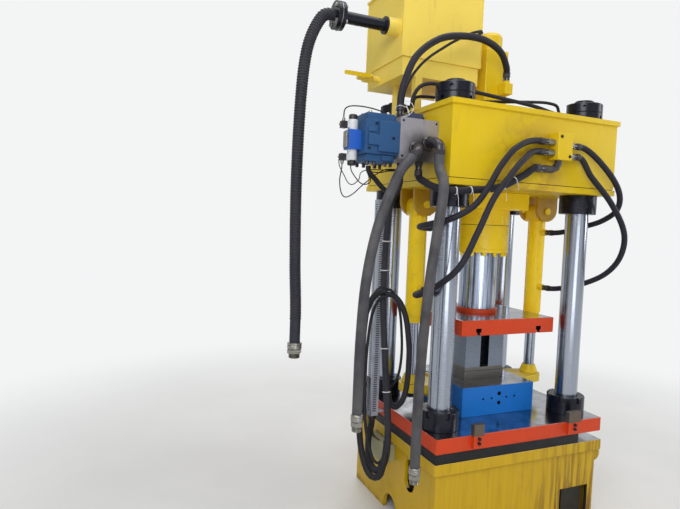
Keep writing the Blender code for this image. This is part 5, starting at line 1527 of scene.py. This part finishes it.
@dataclass
class Bed(Assembly):
    """Welded bed, its plate, the black spacer and the bolster with its stop bars."""

    half_x: float = 0.52
    half_y: float = 0.44
    plate_low: float = 0.412
    bolster_top: float = 0.5926
    bolster_front: float = -0.455

    def build(self) -> None:
        """Make the bed's pieces."""
        walls = Shape("bed_frame", Finish.BED_YELLOW).node()
        # Painted shade: the faces inside the recess at the bed's front right are painted near black.
        walls.redress(Finish.PIT_SHADE, lambda middle, _: (
            0.28 < middle.x < 0.515 and -0.4385 < middle.y < -0.2 and 0.004 < middle.z < 0.26))
        walls.piece(0.003)
        Shape("bed_plate", Finish.BED_YELLOW).node().piece(0.0015)
        Shape("bed_spacer", Finish.SPACER).node().piece(0.0015)
        bolster = Shape("bolster_plate", Finish.ORANGE).node().slice(self.bolster_top + 0.0006)
        front = self.bolster_front
        bolster.redress(Finish.BAR, lambda middle, _: middle.z > self.bolster_top + 0.0008)
        bolster.redress(Finish.BLACK, lambda middle, _: middle.y < front - 0.0235)
        bolster.piece(0.0015)
        self.welds()
        self.edge_screws()

    def welds(self) -> None:
        """Run a weld bead under each edge of the plate."""
        bead = Shape("bed_welds", Finish.BED_YELLOW)
        x, y, top = self.half_x + 0.001, self.half_y + 0.001, self.plate_low - 0.003
        for low, high in (((-x, -y, top), (x, -y, top)), ((-x, y, top), (x, y, top)),
                          ((-x, -y, top), (-x, y, top)), ((x, -y, top), (x, y, top))):
            bead.weld(low, high, 0.0055)
        bead.piece()

    def edge_screws(self) -> None:
        """Screw down the bed plate."""
        seats = [(0.455, y, 0.47) for y in (-0.1, 0.1)]
        self.bolts.place("bed_plate_screws", Finish.BLACK, UP, seats, 0.011, 0.007, 18, 1.05)


@dataclass
class Columns:
    """Four chromed columns with slotted and drilled ring nuts."""

    x: float = 0.425
    y: float = 0.3
    radius: float = 0.06
    foot: float = 0.4117
    bolster: float = 0.5929
    crown_low: float = 1.811
    crown_top: float = 2.2103
    bore: float = 0.0603

    def build(self) -> None:
        """Make the columns and all twelve nuts."""
        lower, upper = self.bolster + 0.095, self.crown_low - 0.0003 - 0.102
        for corner, (x, y) in {"front_left": (-1, -1), "front_right": (1, -1), "back_left": (-1, 1),
                               "back_right": (1, 1)}.items():
            place = (x * self.x, y * self.y)
            self.column(corner, place)
            self.nut(f"lower_nut_{corner}", (*place, self.bolster), [
                (0.0985, 0.0), (0.1, 0.0015), (0.1, 0.091), (0.096, 0.095), (0.066, 0.095), (self.bore, 0.092)],
                0.0, self.slots(place, 0.1, lower - 0.03, lower + 0.01, 0.4))
            self.nut(f"crown_nut_{corner}", (*place, upper), [
                (0.066, 0.0), (0.093, 0.0), (0.097, 0.004), (0.097, 0.1005), (0.0955, 0.102), (self.bore, 0.102)],
                0.003, self.slots(place, 0.097, upper - 0.01, upper + 0.03, 0.2))
            self.nut(f"top_nut_{corner}", (*place, self.crown_top), [
                (0.0955, 0.0), (0.097, 0.0015), (0.097, 0.0475), (0.0945, 0.05), (0.097, 0.0525), (0.097, 0.096),
                (0.093, 0.1), (0.064, 0.1), (self.bore, 0.097)], 0.0, self.holes(place), 0.0008)

    def column(self, corner: str, place: tuple[float, float]) -> None:
        """Turn one column with its foot nut and top centre.

        Args:
            corner: The corner's name.
            place: Where the column's axis stands.
        """
        shape = Shape(f"column_{corner}", Finish.CHROME)
        top, size = self.crown_top + 0.1, self.radius
        shape.turned((*place, 0.0), [
            (0.068, self.foot - 0.05), (0.072, self.foot - 0.046), (0.072, self.foot),
            (size, self.foot), (size, top - 0.004), (0.052, top), (0.05, top + 0.0005), (0.05, top + 0.018),
            (0.048, top + 0.02), (0.011, top + 0.02), (0.004, top + 0.014)], around=96)
        shape.redress(Finish.BLACK, lambda middle, _: middle.z > top - 0.005 or middle.z < self.foot)
        shape.piece()

    def slots(self, place: tuple[float, float], radius: float, low: float, high: float, first: float) -> Shape:
        """Cutters for six spanner slots.

        Args:
            place: The nut's axis.
            radius: The nut's radius.
            low: Lowest height.
            high: Highest height.
            first: Angle of the first slot.

        Returns:
            The cutters.
        """
        tool = Shape("slots", Finish.BLACK)
        for x, y in circle(1.0, 6, first):
            way, side = Vector((x, y, 0.0)), Vector((-y, x, 0.0))
            near = Vector((*place, low)) + way * (radius - 0.009)
            far = Vector((*place, low)) + way * (radius + 0.01)
            tool.prism([near - side * 0.01, far - side * 0.01, far + side * 0.01, near + side * 0.01],
                       (0.0, 0.0, high - low))
        return tool

    def holes(self, place: tuple[float, float]) -> Shape:
        """Cutters for the spanner holes of a pair of top nuts.

        Args:
            place: The nuts' axis.

        Returns:
            The cutters.
        """
        tool = Shape("holes", Finish.BLACK)
        for height, first in ((0.025, 0.3), (0.075, 0.8)):
            for x, y in circle(1.0, 4, first):
                start = (place[0] + x * 0.081, place[1] + y * 0.081, self.crown_top + height)
                tool.turned(start, peg(0.009, 0.03), (x, y, 0.0), 24)
        return tool

    def nut(self, name: str, foot: Point, profile: Sequence[tuple[float, float]], start: float, cutters: Shape,
            bevel: float = 0.001) -> None:
        """Turn a ring nut and cut its slots or holes.

        Args:
            name: The nut's name.
            foot: Where its axis starts.
            profile: Radius and height of each ring after the bore's lower edge.
            start: Height of that edge.
            cutters: What is cut away.
            bevel: Width of its rounded edges.
        """
        ring = Shape(name, Finish.BLACK).turned(foot, [(self.bore, start), *profile], around=96, loop=True)
        ring.cut(cutters).piece(bevel)


@dataclass
class Crown(Assembly):
    """Welded crown, main cylinder, its gland and the prefill valve."""

    half_x: float = 0.5275
    half_y: float = 0.44
    low: float = 1.811
    top: float = 2.21

    def build(self) -> None:
        """Make the crown's pieces."""
        crown = Shape("crown", Finish.CROWN_YELLOW).node()
        crown.redress(Finish.CLEVIS_YELLOW, lambda middle, _: middle.z < 1.8105 and abs(middle.y) < 0.2)
        crown.redress(Finish.GROOVE, lambda middle, _: (
            1.8405 < middle.z < 1.8455 and max(abs(middle.x) / 0.515, abs(middle.y) / 0.425) > 1.0))
        crown.piece(0.0016)
        self.cylinder()
        self.prefill()
        self.thin_lines()
        self.welds()

    def cylinder(self) -> None:
        """Main cylinder with its square flange bolts, and the gland with its bolt ring."""
        radius = 0.16
        barrel = Shape("main_cylinder", Finish.CYLINDER_YELLOW).node()
        barrel.redress(Finish.GROOVE, lambda middle, _: 1.6279 < middle.z < 1.6315 and middle.xy.length > 0.15)
        barrel.piece(0.0006)
        gland = Shape("cylinder_gland", Finish.CYLINDER_YELLOW)
        gland.turned((0.0, 0.0, 0.0), [
            (0.1056, 1.4752), (0.1085, 1.4747), (0.1585, 1.4747), (radius, 1.4762), (radius, 1.4942),
            (0.1585, 1.4957), (0.1056, 1.4957)], around=112, loop=True)
        gland.piece()
        seats = [(x, y, 1.4746) for x, y in circle(0.1445, 14, 0.2)]
        self.bolts.place("gland_bolts", Finish.CYLINDER_YELLOW, DOWN, seats, 0.01, 0.017, 6, 1.1)
        seats = [(x * 0.163, y * 0.163, 1.7198) for x in (-1, 1) for y in (-1, 1)]
        self.bolts.place("flange_bolts", Finish.YELLOW, DOWN, seats, 0.012, 0.01)

    def prefill(self) -> None:
        """Prefill valve with a bolted flange and cap."""
        Shape("prefill_valve", Finish.YELLOW).node().piece(0.002)
        seats = [(x, y, 2.2354) for x, y in circle(0.112, 8, 0.39)]
        self.bolts.place("prefill_bolts", Finish.BLACK, UP, seats, 0.011, 0.011)

    def thin_lines(self) -> None:
        """Small-bore hoses that run from the tank side over a nut to a block on the crown's top."""
        line = Shape("crown_lines", Finish.HOSE)
        z = self.top
        for radius, stops in (
            (0.0098, [
                (-0.61, -0.2, z - 0.01), (-0.608, -0.202, z + 0.015), (-0.56, -0.205, z + 0.098),
                (-0.425, -0.186, z + 0.126), (-0.28, -0.21, z + 0.11), (-0.1, -0.27, z + 0.078),
                (0.06, -0.312, z + 0.052), (0.15, -0.322, z + 0.034), (0.216, -0.322, z + 0.022),
                (0.226, -0.318, z + 0.021)]),
            (0.008, [
                (-0.592, -0.178, z - 0.01), (-0.59, -0.18, z + 0.01), (-0.56, -0.165, z + 0.05),
                (-0.43, -0.165, z + 0.062), (-0.29, -0.19, z + 0.06), (-0.11, -0.245, z + 0.066),
                (0.06, -0.285, z + 0.078), (0.18, -0.302, z + 0.082), (0.238, -0.302, z + 0.062),
                (0.246, -0.3, z + 0.044)]),
        ):
            line.tube(smooth_path(stops, 0.01), radius, 14)
        line.piece()
        fitting = Shape("crown_line_block", Finish.BLACK)
        fitting.box((0.226, -0.336, z + 0.0003), (0.266, -0.284, z + 0.034))
        fitting.box((0.214, -0.352, z + 0.0003), (0.278, -0.268, z + 0.0055))
        fitting.turned((0.246, -0.3, z + 0.033), peg(0.01, 0.012), around=6)
        fitting.piece(0.0012)

    def welds(self) -> None:
        """Weld beads along the crown's flange and its clevis plates."""
        bead = Shape("crown_welds", Finish.YELLOW)
        x, y = self.half_x + 0.0005, self.half_y + 0.0005
        height = self.top - 0.0265
        for start, end in (((-x, -y, height), (x, -y, height)), ((x, -y, height), (x, y, height)),
                           ((x, y, height), (-x, y, height)), ((-x, y, height), (-x, -y, height))):
            bead.weld(start, end, 0.0042)
        for side in (-LIFT_X, LIFT_X):
            for edge in (-0.082, 0.082):
                start, end = (side - 0.072, edge, self.low - 0.001), (side + 0.072, edge, self.low - 0.001)
                bead.weld(start, end, 0.0055)
        bead.piece()


@dataclass
class Ram(Assembly):
    """Ram, slide, guide rod and upper tooling."""

    radius: float = 0.105
    foot: float = 1.1303
    head: float = 1.541
    head_top: float = 1.616
    head_radius: float = 0.1245

    def build(self) -> None:
        """Make everything on the moving slide, and last its guide rod on a foot plate."""
        ram = Shape("ram", Finish.RAM)
        ram.turned((0.0, 0.0, 0.0), [
            (self.radius, self.foot), (self.radius, self.head), (self.head_radius, self.head),
            (self.head_radius, self.head_top)], around=128)
        ram.piece(body=Body.SLIDE)
        ring = Shape("ram_flange", Finish.ORANGE_RING)
        low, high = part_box("ram_flange")
        bore = self.radius + 0.0004
        ring.turned((0.0, 0.0, low.z), [
            (bore, 0.0), (high.x, 0.0), (high.x, high.z - low.z - 0.003), (high.x - 0.003, high.z - low.z),
            (bore, high.z - low.z)], around=96, loop=True)
        ring.piece(body=Body.SLIDE)
        slide = Shape("slide", Finish.ORANGE).node()
        slide.redress(Finish.BLACK, lambda middle, normal: (
            abs(abs(middle.x) - 0.2) < 0.02 and 1.0475 < middle.z < 1.0875 and abs(normal.y) < 0.5))
        slide.piece(0.001, Body.SLIDE)
        self.tooling()
        Shape("guide_rod", Finish.CHROME).node().piece(0.0006, Body.SLIDE)

    def tooling(self) -> None:
        """Punch holder and upper punch with their screws."""
        holder = Shape("punch_holder", Finish.HOLDER).node().slice(0.8205)
        # Painted shade: the faces in the holder's middle groove are painted black.
        holder.redress(Finish.BLACK, lambda middle, _: abs(middle.x) < 0.0292 and 0.0595 < abs(middle.y) < 0.0998)
        holder.redress(Finish.PUNCH, lambda middle, _: middle.z < 0.8203)
        holder.piece(0.001, Body.SLIDE)
        Shape("upper_punch", Finish.PUNCH).node().piece(0.0008, Body.SLIDE)
        seats = [(side * 0.085, -0.1002, 1.0365) for side in (-1, 1)]
        self.bolts.place("holder_screws", Finish.BLACK, FRONTWARD, seats, 0.0055, 0.0024, 18, 1.02, Body.SLIDE)


@dataclass
class Die:
    """Floating die, its lift brackets, rods and the lower punch."""

    def build(self) -> None:
        """Make the die set's pieces."""
        die = Shape("die_block", Finish.DIE_BLUE)
        low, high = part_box("die_block")
        die.box(tuple(low), tuple(high))
        tools = Shape("die_tools", Finish.BLACK)
        tools.box((-0.135, -0.105, low.z - 0.02), (0.135, 0.105, high.z + 0.02))
        holes = [(0.004, 0.113, 0.011), (0.004, 0.062, 0.0105)]
        holes += [(0.004 + x, 0.09, 0.0058) for x in (-0.107, -0.05, 0.05, 0.105)]
        for x, rise, radius in holes:
            for face, way in ((low.y, 1.0), (high.y, -1.0)):
                tools.turned((x, face - way * 0.01, low.z + rise), peg(radius, 0.045), (0.0, way, 0.0), 24)
        die.cut(tools)
        # Painted shade: the walls inside the drilled holes are painted black.
        die.redress(Finish.BLACK, lambda middle, _: (
            0.19 < abs(middle.y) < 0.2398 and abs(middle.x) < 0.13 and low.z + 0.03 < middle.z < high.z - 0.02))
        die.piece(0.0012, Body.DIE)
        Shape("lower_punch", Finish.PUNCH).node().piece(0.0008)
        for side, way in (("left", -1), ("right", 1)):
            Shape(f"lift_bracket_{side}", Finish.YELLOW).node().piece(0.002, Body.DIE)
            self.rod(side, way)

    def rod(self, side: str, way: int) -> None:
        """Lift rod with its cone nut, lower nut and piston.

        Args:
            side: Side that it is on.
            way: -1 on the left, 1 on the right.
        """
        shape = Shape(f"lift_rod_{side}", Finish.CHROME)
        low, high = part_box(f"lift_rod_{side}")
        x = way * LIFT_X
        shape.turned((x, 0.0, 0.0), [
            (0.0312, 0.785), (0.031, 0.786), (0.031, 1.15), (0.0395, 1.15), (0.0395, high.z)], around=72)
        shape.turned((x, 0.0, 0.0), [
            (0.05, 0.7353), (0.052, 0.7373), (0.052, 0.745), (0.0385, 0.7835),
            (0.0365, 0.7853)], around=72, finish=Finish.YELLOW)
        lower = Shape("lift_nut", Finish.BLACK).node(f"lift_rod_{side}")
        keep = [vert for vert in lower.mesh.verts if vert.co.z > 0.7352]
        bmesh.ops.delete(lower.mesh, geom=keep, context="VERTS")
        bottom = min(vert.co.z for vert in lower.mesh.verts)
        reach = max(abs(vert.co.x - x) for vert in lower.mesh.verts if vert.co.z < bottom + 0.004)
        lower.mesh.free()
        shape.turned((x, 0.0, 0.0), [
            (reach * 0.93, bottom), (reach, bottom + 0.004), (reach, 0.6897)],
            around=6, finish=Finish.BLACK)
        shape.piece(body=Body.DIE)


@dataclass
class LiftBarrel:
    """Lift cylinder barrel hung from the crown's clevis."""

    side: str

    def build(self) -> None:
        """Make the barrel and the bright ring on its gland."""
        name = f"lift_barrel_{self.side}"
        x = -LIFT_X if self.side == "left" else LIFT_X
        Shape(name, Finish.CYLINDER_YELLOW).node().piece(0.0008)
        trim = Shape(f"lift_gland_ring_{self.side}", Finish.STEEL)
        trim.turned((x, 0.0, 1.0745), [(0.0325, 0.0), (0.04, 0.0), (0.041, 0.0012), (0.0325, 0.0012)],
                    around=64, loop=True)
        trim.piece()


@dataclass
class Tank(Assembly):
    """Top oil tank on its legs, with its drain valve and return pipe."""

    left: float = -0.61
    right: float = -0.12
    front: float = -0.08
    back: float = 0.35
    low: float = 2.39
    top: float = 2.9
    pipe_y: float = -0.02
    pipe_z: float = 2.64

    def build(self) -> None:
        """Make the tank's pieces."""
        Shape("top_tank", Finish.TANK_YELLOW).node().piece(0.002)
        Shape("tank_valve_lever", Finish.YELLOW).node().piece(0.0008, Body.LEVER)
        Shape("return_pipe", Finish.BLACK).node().piece(0.0008)
        self.flange()
        self.welds()

    def flange(self) -> None:
        """Bolts, nuts and gasket of the return pipe's flange pair."""
        gasket = Shape("return_gasket", Finish.ZINC)
        gasket.turned((-0.9497, self.pipe_y, self.pipe_z), [
            (0.0705, 0.0), (0.0712, 0.0004), (0.0712, 0.003), (0.0705, 0.0034)], (1.0, 0.0, 0.0), 56, loop=True)
        gasket.piece()
        for name, way, x, height in (("nuts", 1.0, -0.9258, 0.01), ("bolts", -1.0, -0.9702, 0.0085)):
            seats = [(x, self.pipe_y + a, self.pipe_z + b) for a, b in circle(0.052, 4, math.pi / 4)]
            self.bolts.place(f"return_flange_{name}", Finish.ZINC, (way, 0.0, 0.0), seats, 0.011, height)

    def welds(self) -> None:
        """Weld beads at the tank's corners."""
        bead = Shape("tank_welds", Finish.TANK_YELLOW)
        for x in (self.left, self.right):
            for y in (self.front, self.back):
                bead.weld((x, y, self.low + 0.098), (x, y, self.top - 0.014), 0.0035)
        bead.piece()


@dataclass
class Valves(Assembly):
    """Valve block, main and pilot valves, and the front manifold."""

    block_low: Point = (-0.737, -0.33, 1.92)
    block_high: Point = (-0.5278, -0.13, 2.115)
    left: float = -0.91
    right: float = -0.7373
    middle_y: float = -0.235
    half_y: float = 0.085
    low: float = 1.9
    top: float = 2.124
    cap: float = 0.034
    inset: float = 0.014
    pilot_low: float = 1.88
    pilot_top: float = 2.117
    collars: tuple[tuple[float, float], ...] = ((-0.655, 1.97), (-0.585, 2.003))

    def build(self) -> None:
        """Make the valves' pieces."""
        self.block()
        self.main_valve()
        self.connectors()
        self.side_valve()
        self.manifold()

    def block(self) -> None:
        """Steel block with its ports, two elbows and their flange clamps."""
        block = Shape("valve_block", Finish.GREY)
        block.box(self.block_low, self.block_high)
        front, low, top = self.block_low[1], self.block_low[2], self.block_high[2]
        for (x, y, _), radius, reach in ((Hoses.pressure, 0.023, 0.025), (Hoses.drain, 0.013, 0.02)):
            block.turned((x, y, top - 0.002), [
                (radius, 0.0), (radius, reach * 0.6), (radius * 0.82, reach * 0.68),
                (radius * 0.82, reach + 0.002)], around=6, finish=Finish.FITTING)
        for (x, y, _), radius in ((Hoses.bundle_end, 0.023), (Hoses.conduit, 0.021)):
            block.turned((x, y, low + 0.002), [
                (radius, 0.0), (radius, 0.015), (radius * 0.85, 0.017),
                (radius * 0.85, 0.024)], DOWN, 6, Finish.FITTING)
        elbows = ((0.016, (-0.69, -0.405, 1.94), Hoses.supply_b), (0.04, (-0.585, -0.435, 1.968), Hoses.supply_c))
        for (x, z), (reach, bend, end) in zip(self.collars, elbows):
            path = smooth_path([(x, front - 0.0002, z), (x, front - reach, z), bend, end], 0.005)
            block.tube(path, 0.0245, 32, Finish.FITTING)
            block.turned(path[-1], [
                (0.0265, 0.0), (0.0285, 0.002), (0.0285, 0.02), (0.0265, 0.022)],
                path[-2] - path[-1], 6, Finish.FITTING)
        for x, z in self.collars:
            block.turned((x, front + 0.001, z), [
                (0.033, 0.0), (0.033, 0.013), (0.03, 0.016)], FRONTWARD, 40,
                Finish.FITTING)
        block.piece(0.0012)
        seats = [(x + way * 0.021, front - 0.0135, z - way * 0.021) for x, z in self.collars for way in (-1, 1)]
        self.bolts.place("elbow_screws", Finish.ZINC, FRONTWARD, seats, 0.0055, 0.007)

    def main_valve(self) -> None:
        """Blue valve with stepped plates on its front, and the pilot valve on its left face."""
        front, back = self.middle_y - self.half_y, self.middle_y + self.half_y
        inset, low, high = self.inset, self.low + self.cap, self.top - self.cap
        valve = Shape("main_valve", Finish.VALVE_BLUE)
        valve.box((self.left, front, low), (self.right, back, high))
        for bottom, top in ((self.low, low + 0.001), (high - 0.001, self.top)):
            valve.box((self.left + inset, front + inset, bottom), (self.right - inset, back - inset, top))
        width, height = self.right - self.left, self.top - self.low
        corners = ((0.38, 0.2), (1.0, 0.2), (1.0, 0.82), (0.38, 0.82), (0.38, 0.54), (0.08, 0.54), (0.08, 0.325),
                   (0.38, 0.325))
        plate = [(self.left + width * a - 0.001, front + 0.001, self.low + height * b) for a, b in corners]
        valve.prism(plate, (0.0, -0.012, 0.0))
        valve.box((self.left + width * 0.06, front - 0.006, self.low + height * 0.59),
                  (self.left + width * 0.3, front + 0.001, self.low + height * 0.68))
        valve.box((self.left + width * 0.52, front + inset - 0.01, self.low + 0.006),
                  (self.left + width * 0.8, front + inset + 0.001, self.low + 0.03))
        self.pilot(valve)
        valve.piece(0.0012)
        seats = [(self.left + width * a, front - depth, self.low + height * b)
                 for a, b, depth in ((0.31, 0.77, 0.0), (0.8, 0.49, 0.0112), (0.12, 0.25, 0.0))]
        self.bolts.place("valve_screws", Finish.BLACK, FRONTWARD, seats, 0.0065, 0.003, 18, 1.05)
        seats = [(x, y, self.low + 0.0005) for x in (-0.885, -0.85, -0.79, -0.762) for y in (-0.29, -0.18)]
        self.bolts.place("valve_plugs", Finish.FITTING, DOWN, seats, 0.0085, 0.017)
        seats = [(x, y, self.top - 0.0005) for x in (-0.87, -0.775) for y in (-0.275, -0.195)]
        self.bolts.place("valve_top_plugs", Finish.ZINC, UP, seats, 0.009, 0.012)

    def pilot(self, valve: Shape) -> None:
        """Add the pilot valve's body, its two pale coils and their black ends.

        Args:
            valve: Shape that it is added to.
        """
        x, y = self.left - 0.02885, self.middle_y
        middle = (self.pilot_low + self.pilot_top) / 2
        valve.box((self.left - 0.0577, y - 0.036, middle - 0.045), (self.left + 0.004, y + 0.036, middle + 0.045),
                  Finish.PILOT_BLUE)
        for way in (-1.0, 1.0):
            reach = self.pilot_top - middle
            valve.turned((x, y, middle), [
                (0.0225, 0.044), (0.0235, 0.046), (0.0235, reach - 0.026),
                (0.0215, reach - 0.024)], (0.0, 0.0, way), 36, Finish.COIL)
            valve.turned((x, y, middle), [
                (0.0205, reach - 0.025), (0.0205, reach - 0.005), (0.0175, reach)], (0.0, 0.0, way), 12, Finish.CAP)

    def connectors(self) -> None:
        """Plugs on the coils, and the thin wires that loop from them to the conduit."""
        plugs = Shape("coil_plugs", Finish.CAP)
        x, y = self.left - 0.0577, self.middle_y
        for z, lift in ((2.066, 0.03), (1.916, -0.03)):
            plugs.box((x - 0.004, y - 0.014, z - 0.014), (x + 0.014, y + 0.014, z + 0.014), Finish.COIL)
            plugs.box((x - 0.032, y - 0.016, z - 0.016), (x - 0.005, y + 0.016, z + 0.016))
            plugs.turned((x - 0.019, y, z), [
                (0.008, 0.0), (0.008, 0.024), (0.006, 0.032)],
                (0.0, 0.0, math.copysign(1.0, lift)), 12, Finish.ZINC)
            plugs.turned((x - 0.032, y, z), peg(0.004, 0.01), (-1.0, 0.0, 0.0), 12, Finish.ZINC)
        plugs.box((x - 0.01, y - 0.02, 1.962), (x, y + 0.02, 2.036), Finish.ZINC)
        plugs.piece(0.0012)
        wires = Shape("coil_wires", Finish.WIRE)
        left = x - 0.019
        for radius, stops in (
            (0.003, [
                (left, y, 2.094), (left, y, 2.104), (left + 0.02, y + 0.02, 2.15), (-0.9, -0.2, 2.168),
                (-0.8, -0.19, 2.165), (-0.73, -0.18, 2.15), (-0.69, -0.165, 2.1255), (-0.686, -0.162, 2.12)]),
            (0.0026, [
                (left, y, 1.888), (left, y, 1.878), (left - 0.01, y - 0.004, 1.8), (left + 0.012, y, 1.735),
                (-0.93, y + 0.01, 1.742), (-0.86, y + 0.02, 1.8), (-0.76, -0.2, 1.87),
                (-0.69, -0.18, 1.885), (-0.664, -0.174, 1.886)]),
            (0.0022, [
                (left - 0.012, y + 0.01, 1.905), (left - 0.012, y + 0.01, 1.895), (-0.975, -0.24, 1.83),
                (-0.945, -0.25, 1.79), (-0.905, -0.25, 1.815), (-0.89, -0.24, 1.85), (-0.84, -0.22, 1.868),
                (-0.7, -0.18, 1.88), (-0.664, -0.174, 1.883)]),
            (0.0026, [
                (-0.942, y, 1.884), (-0.942, y, 1.874), (-0.915, -0.245, 1.82), (-0.88, -0.25, 1.795),
                (-0.84, -0.245, 1.812), (-0.85, -0.235, 1.85), (-0.77, -0.2, 1.862), (-0.7, -0.18, 1.876),
                (-0.664, -0.174, 1.88)]),
            (0.0125, [
                (-0.85, -0.235, 1.885), (-0.85, -0.235, 1.875), (-0.8, -0.225, 1.82), (-0.74, -0.2, 1.78),
                (-0.69, -0.18, 1.77), (-0.665, -0.16, 1.745), (-0.66, -0.15, 1.735)]),
        ):
            wires.tube(smooth_path(stops, 0.008), radius, 12)
        wires.piece()

    def side_valve(self) -> None:
        """Small valve on the block's top, with its plugs."""
        valve = Shape("side_valve", Finish.EXTRA_BLUE)
        top = self.block_high[2]
        valve.box((-0.636, -0.216, top + 0.0003), (-0.548, -0.134, top + 0.052))
        valve.box((-0.548, -0.2, top + 0.01), (-0.5335, -0.15, top + 0.042), Finish.CAP)
        valve.turned((-0.592, -0.175, top + 0.051), [(0.016, 0.0), (0.016, 0.012), (0.012, 0.016)], around=6,
                     finish=Finish.FITTING)
        valve.piece(0.0018)
        seats = [(x, -0.3302, z) for x, z in ((-0.722, 1.935), (-0.722, 2.1), (-0.542, 2.1))]
        self.bolts.place("block_screws", Finish.BLACK, FRONTWARD, seats, 0.0052, 0.002, 16, 1.05)

    def manifold(self) -> None:
        """Yellow port block on the crown's front, with plated nuts on its stubs."""
        block = Shape("front_manifold", Finish.YELLOW).node()
        block.redress(Finish.FITTING, lambda middle, _: middle.z < 1.9645)
        block.redress(Finish.ZINC, lambda middle, _: middle.z > 1.9645 and (middle.x < 0.0595 or middle.x > 0.1555))
        block.piece(0.001)
        seats = [(x, -0.5054, z) for x, z in ((0.078, 2.08), (0.137, 1.985))]
        self.bolts.place("manifold_screws", Finish.BLACK, FRONTWARD, seats, 0.0075, 0.004, 18, 1.02)


@dataclass
class Electrics:
    """Cable duct and terminal box on the left side."""

    slots: SlotTree = field(default_factory=SlotTree)

    def build(self) -> None:
        """Make the electrical pieces."""
        duct = Shape("cable_duct", Finish.DUCT).node().piece(0.0008)
        # Painted shade: rows of thin black blocks on the duct's faces stand in for its shaded slot openings.
        rows = (("front", (-0.6, 0.0799), (0.021, 0.0006)), ("left", (-0.6251, 0.105), (0.0006, 0.021)))
        for side, (x, y), (wide, deep) in rows:
            join(duct, self.slots.between(f"duct_slots_{side}", (x, y, 0.56), (x, y, 1.72), 0.0125,
                                          (wide, deep, 0.006), Finish.CAP))
        Shape("terminal_box", Finish.BOX_GREY).node().piece(0.002)


def main() -> None:
    """Build the press and its studio in order."""
    logging.basicConfig(level=logging.INFO, format="%(message)s")
    Studio().build()
    Hoses().build()
    bolts = BoltTree()
    for part in (Bed(bolts), Columns(), Crown(bolts), Ram(bolts), Die(), LiftBarrel("left"), LiftBarrel("right"),
                 Tank(bolts), Valves(bolts), Electrics()):
        part.build()


if __name__ == "__main__":
    main()
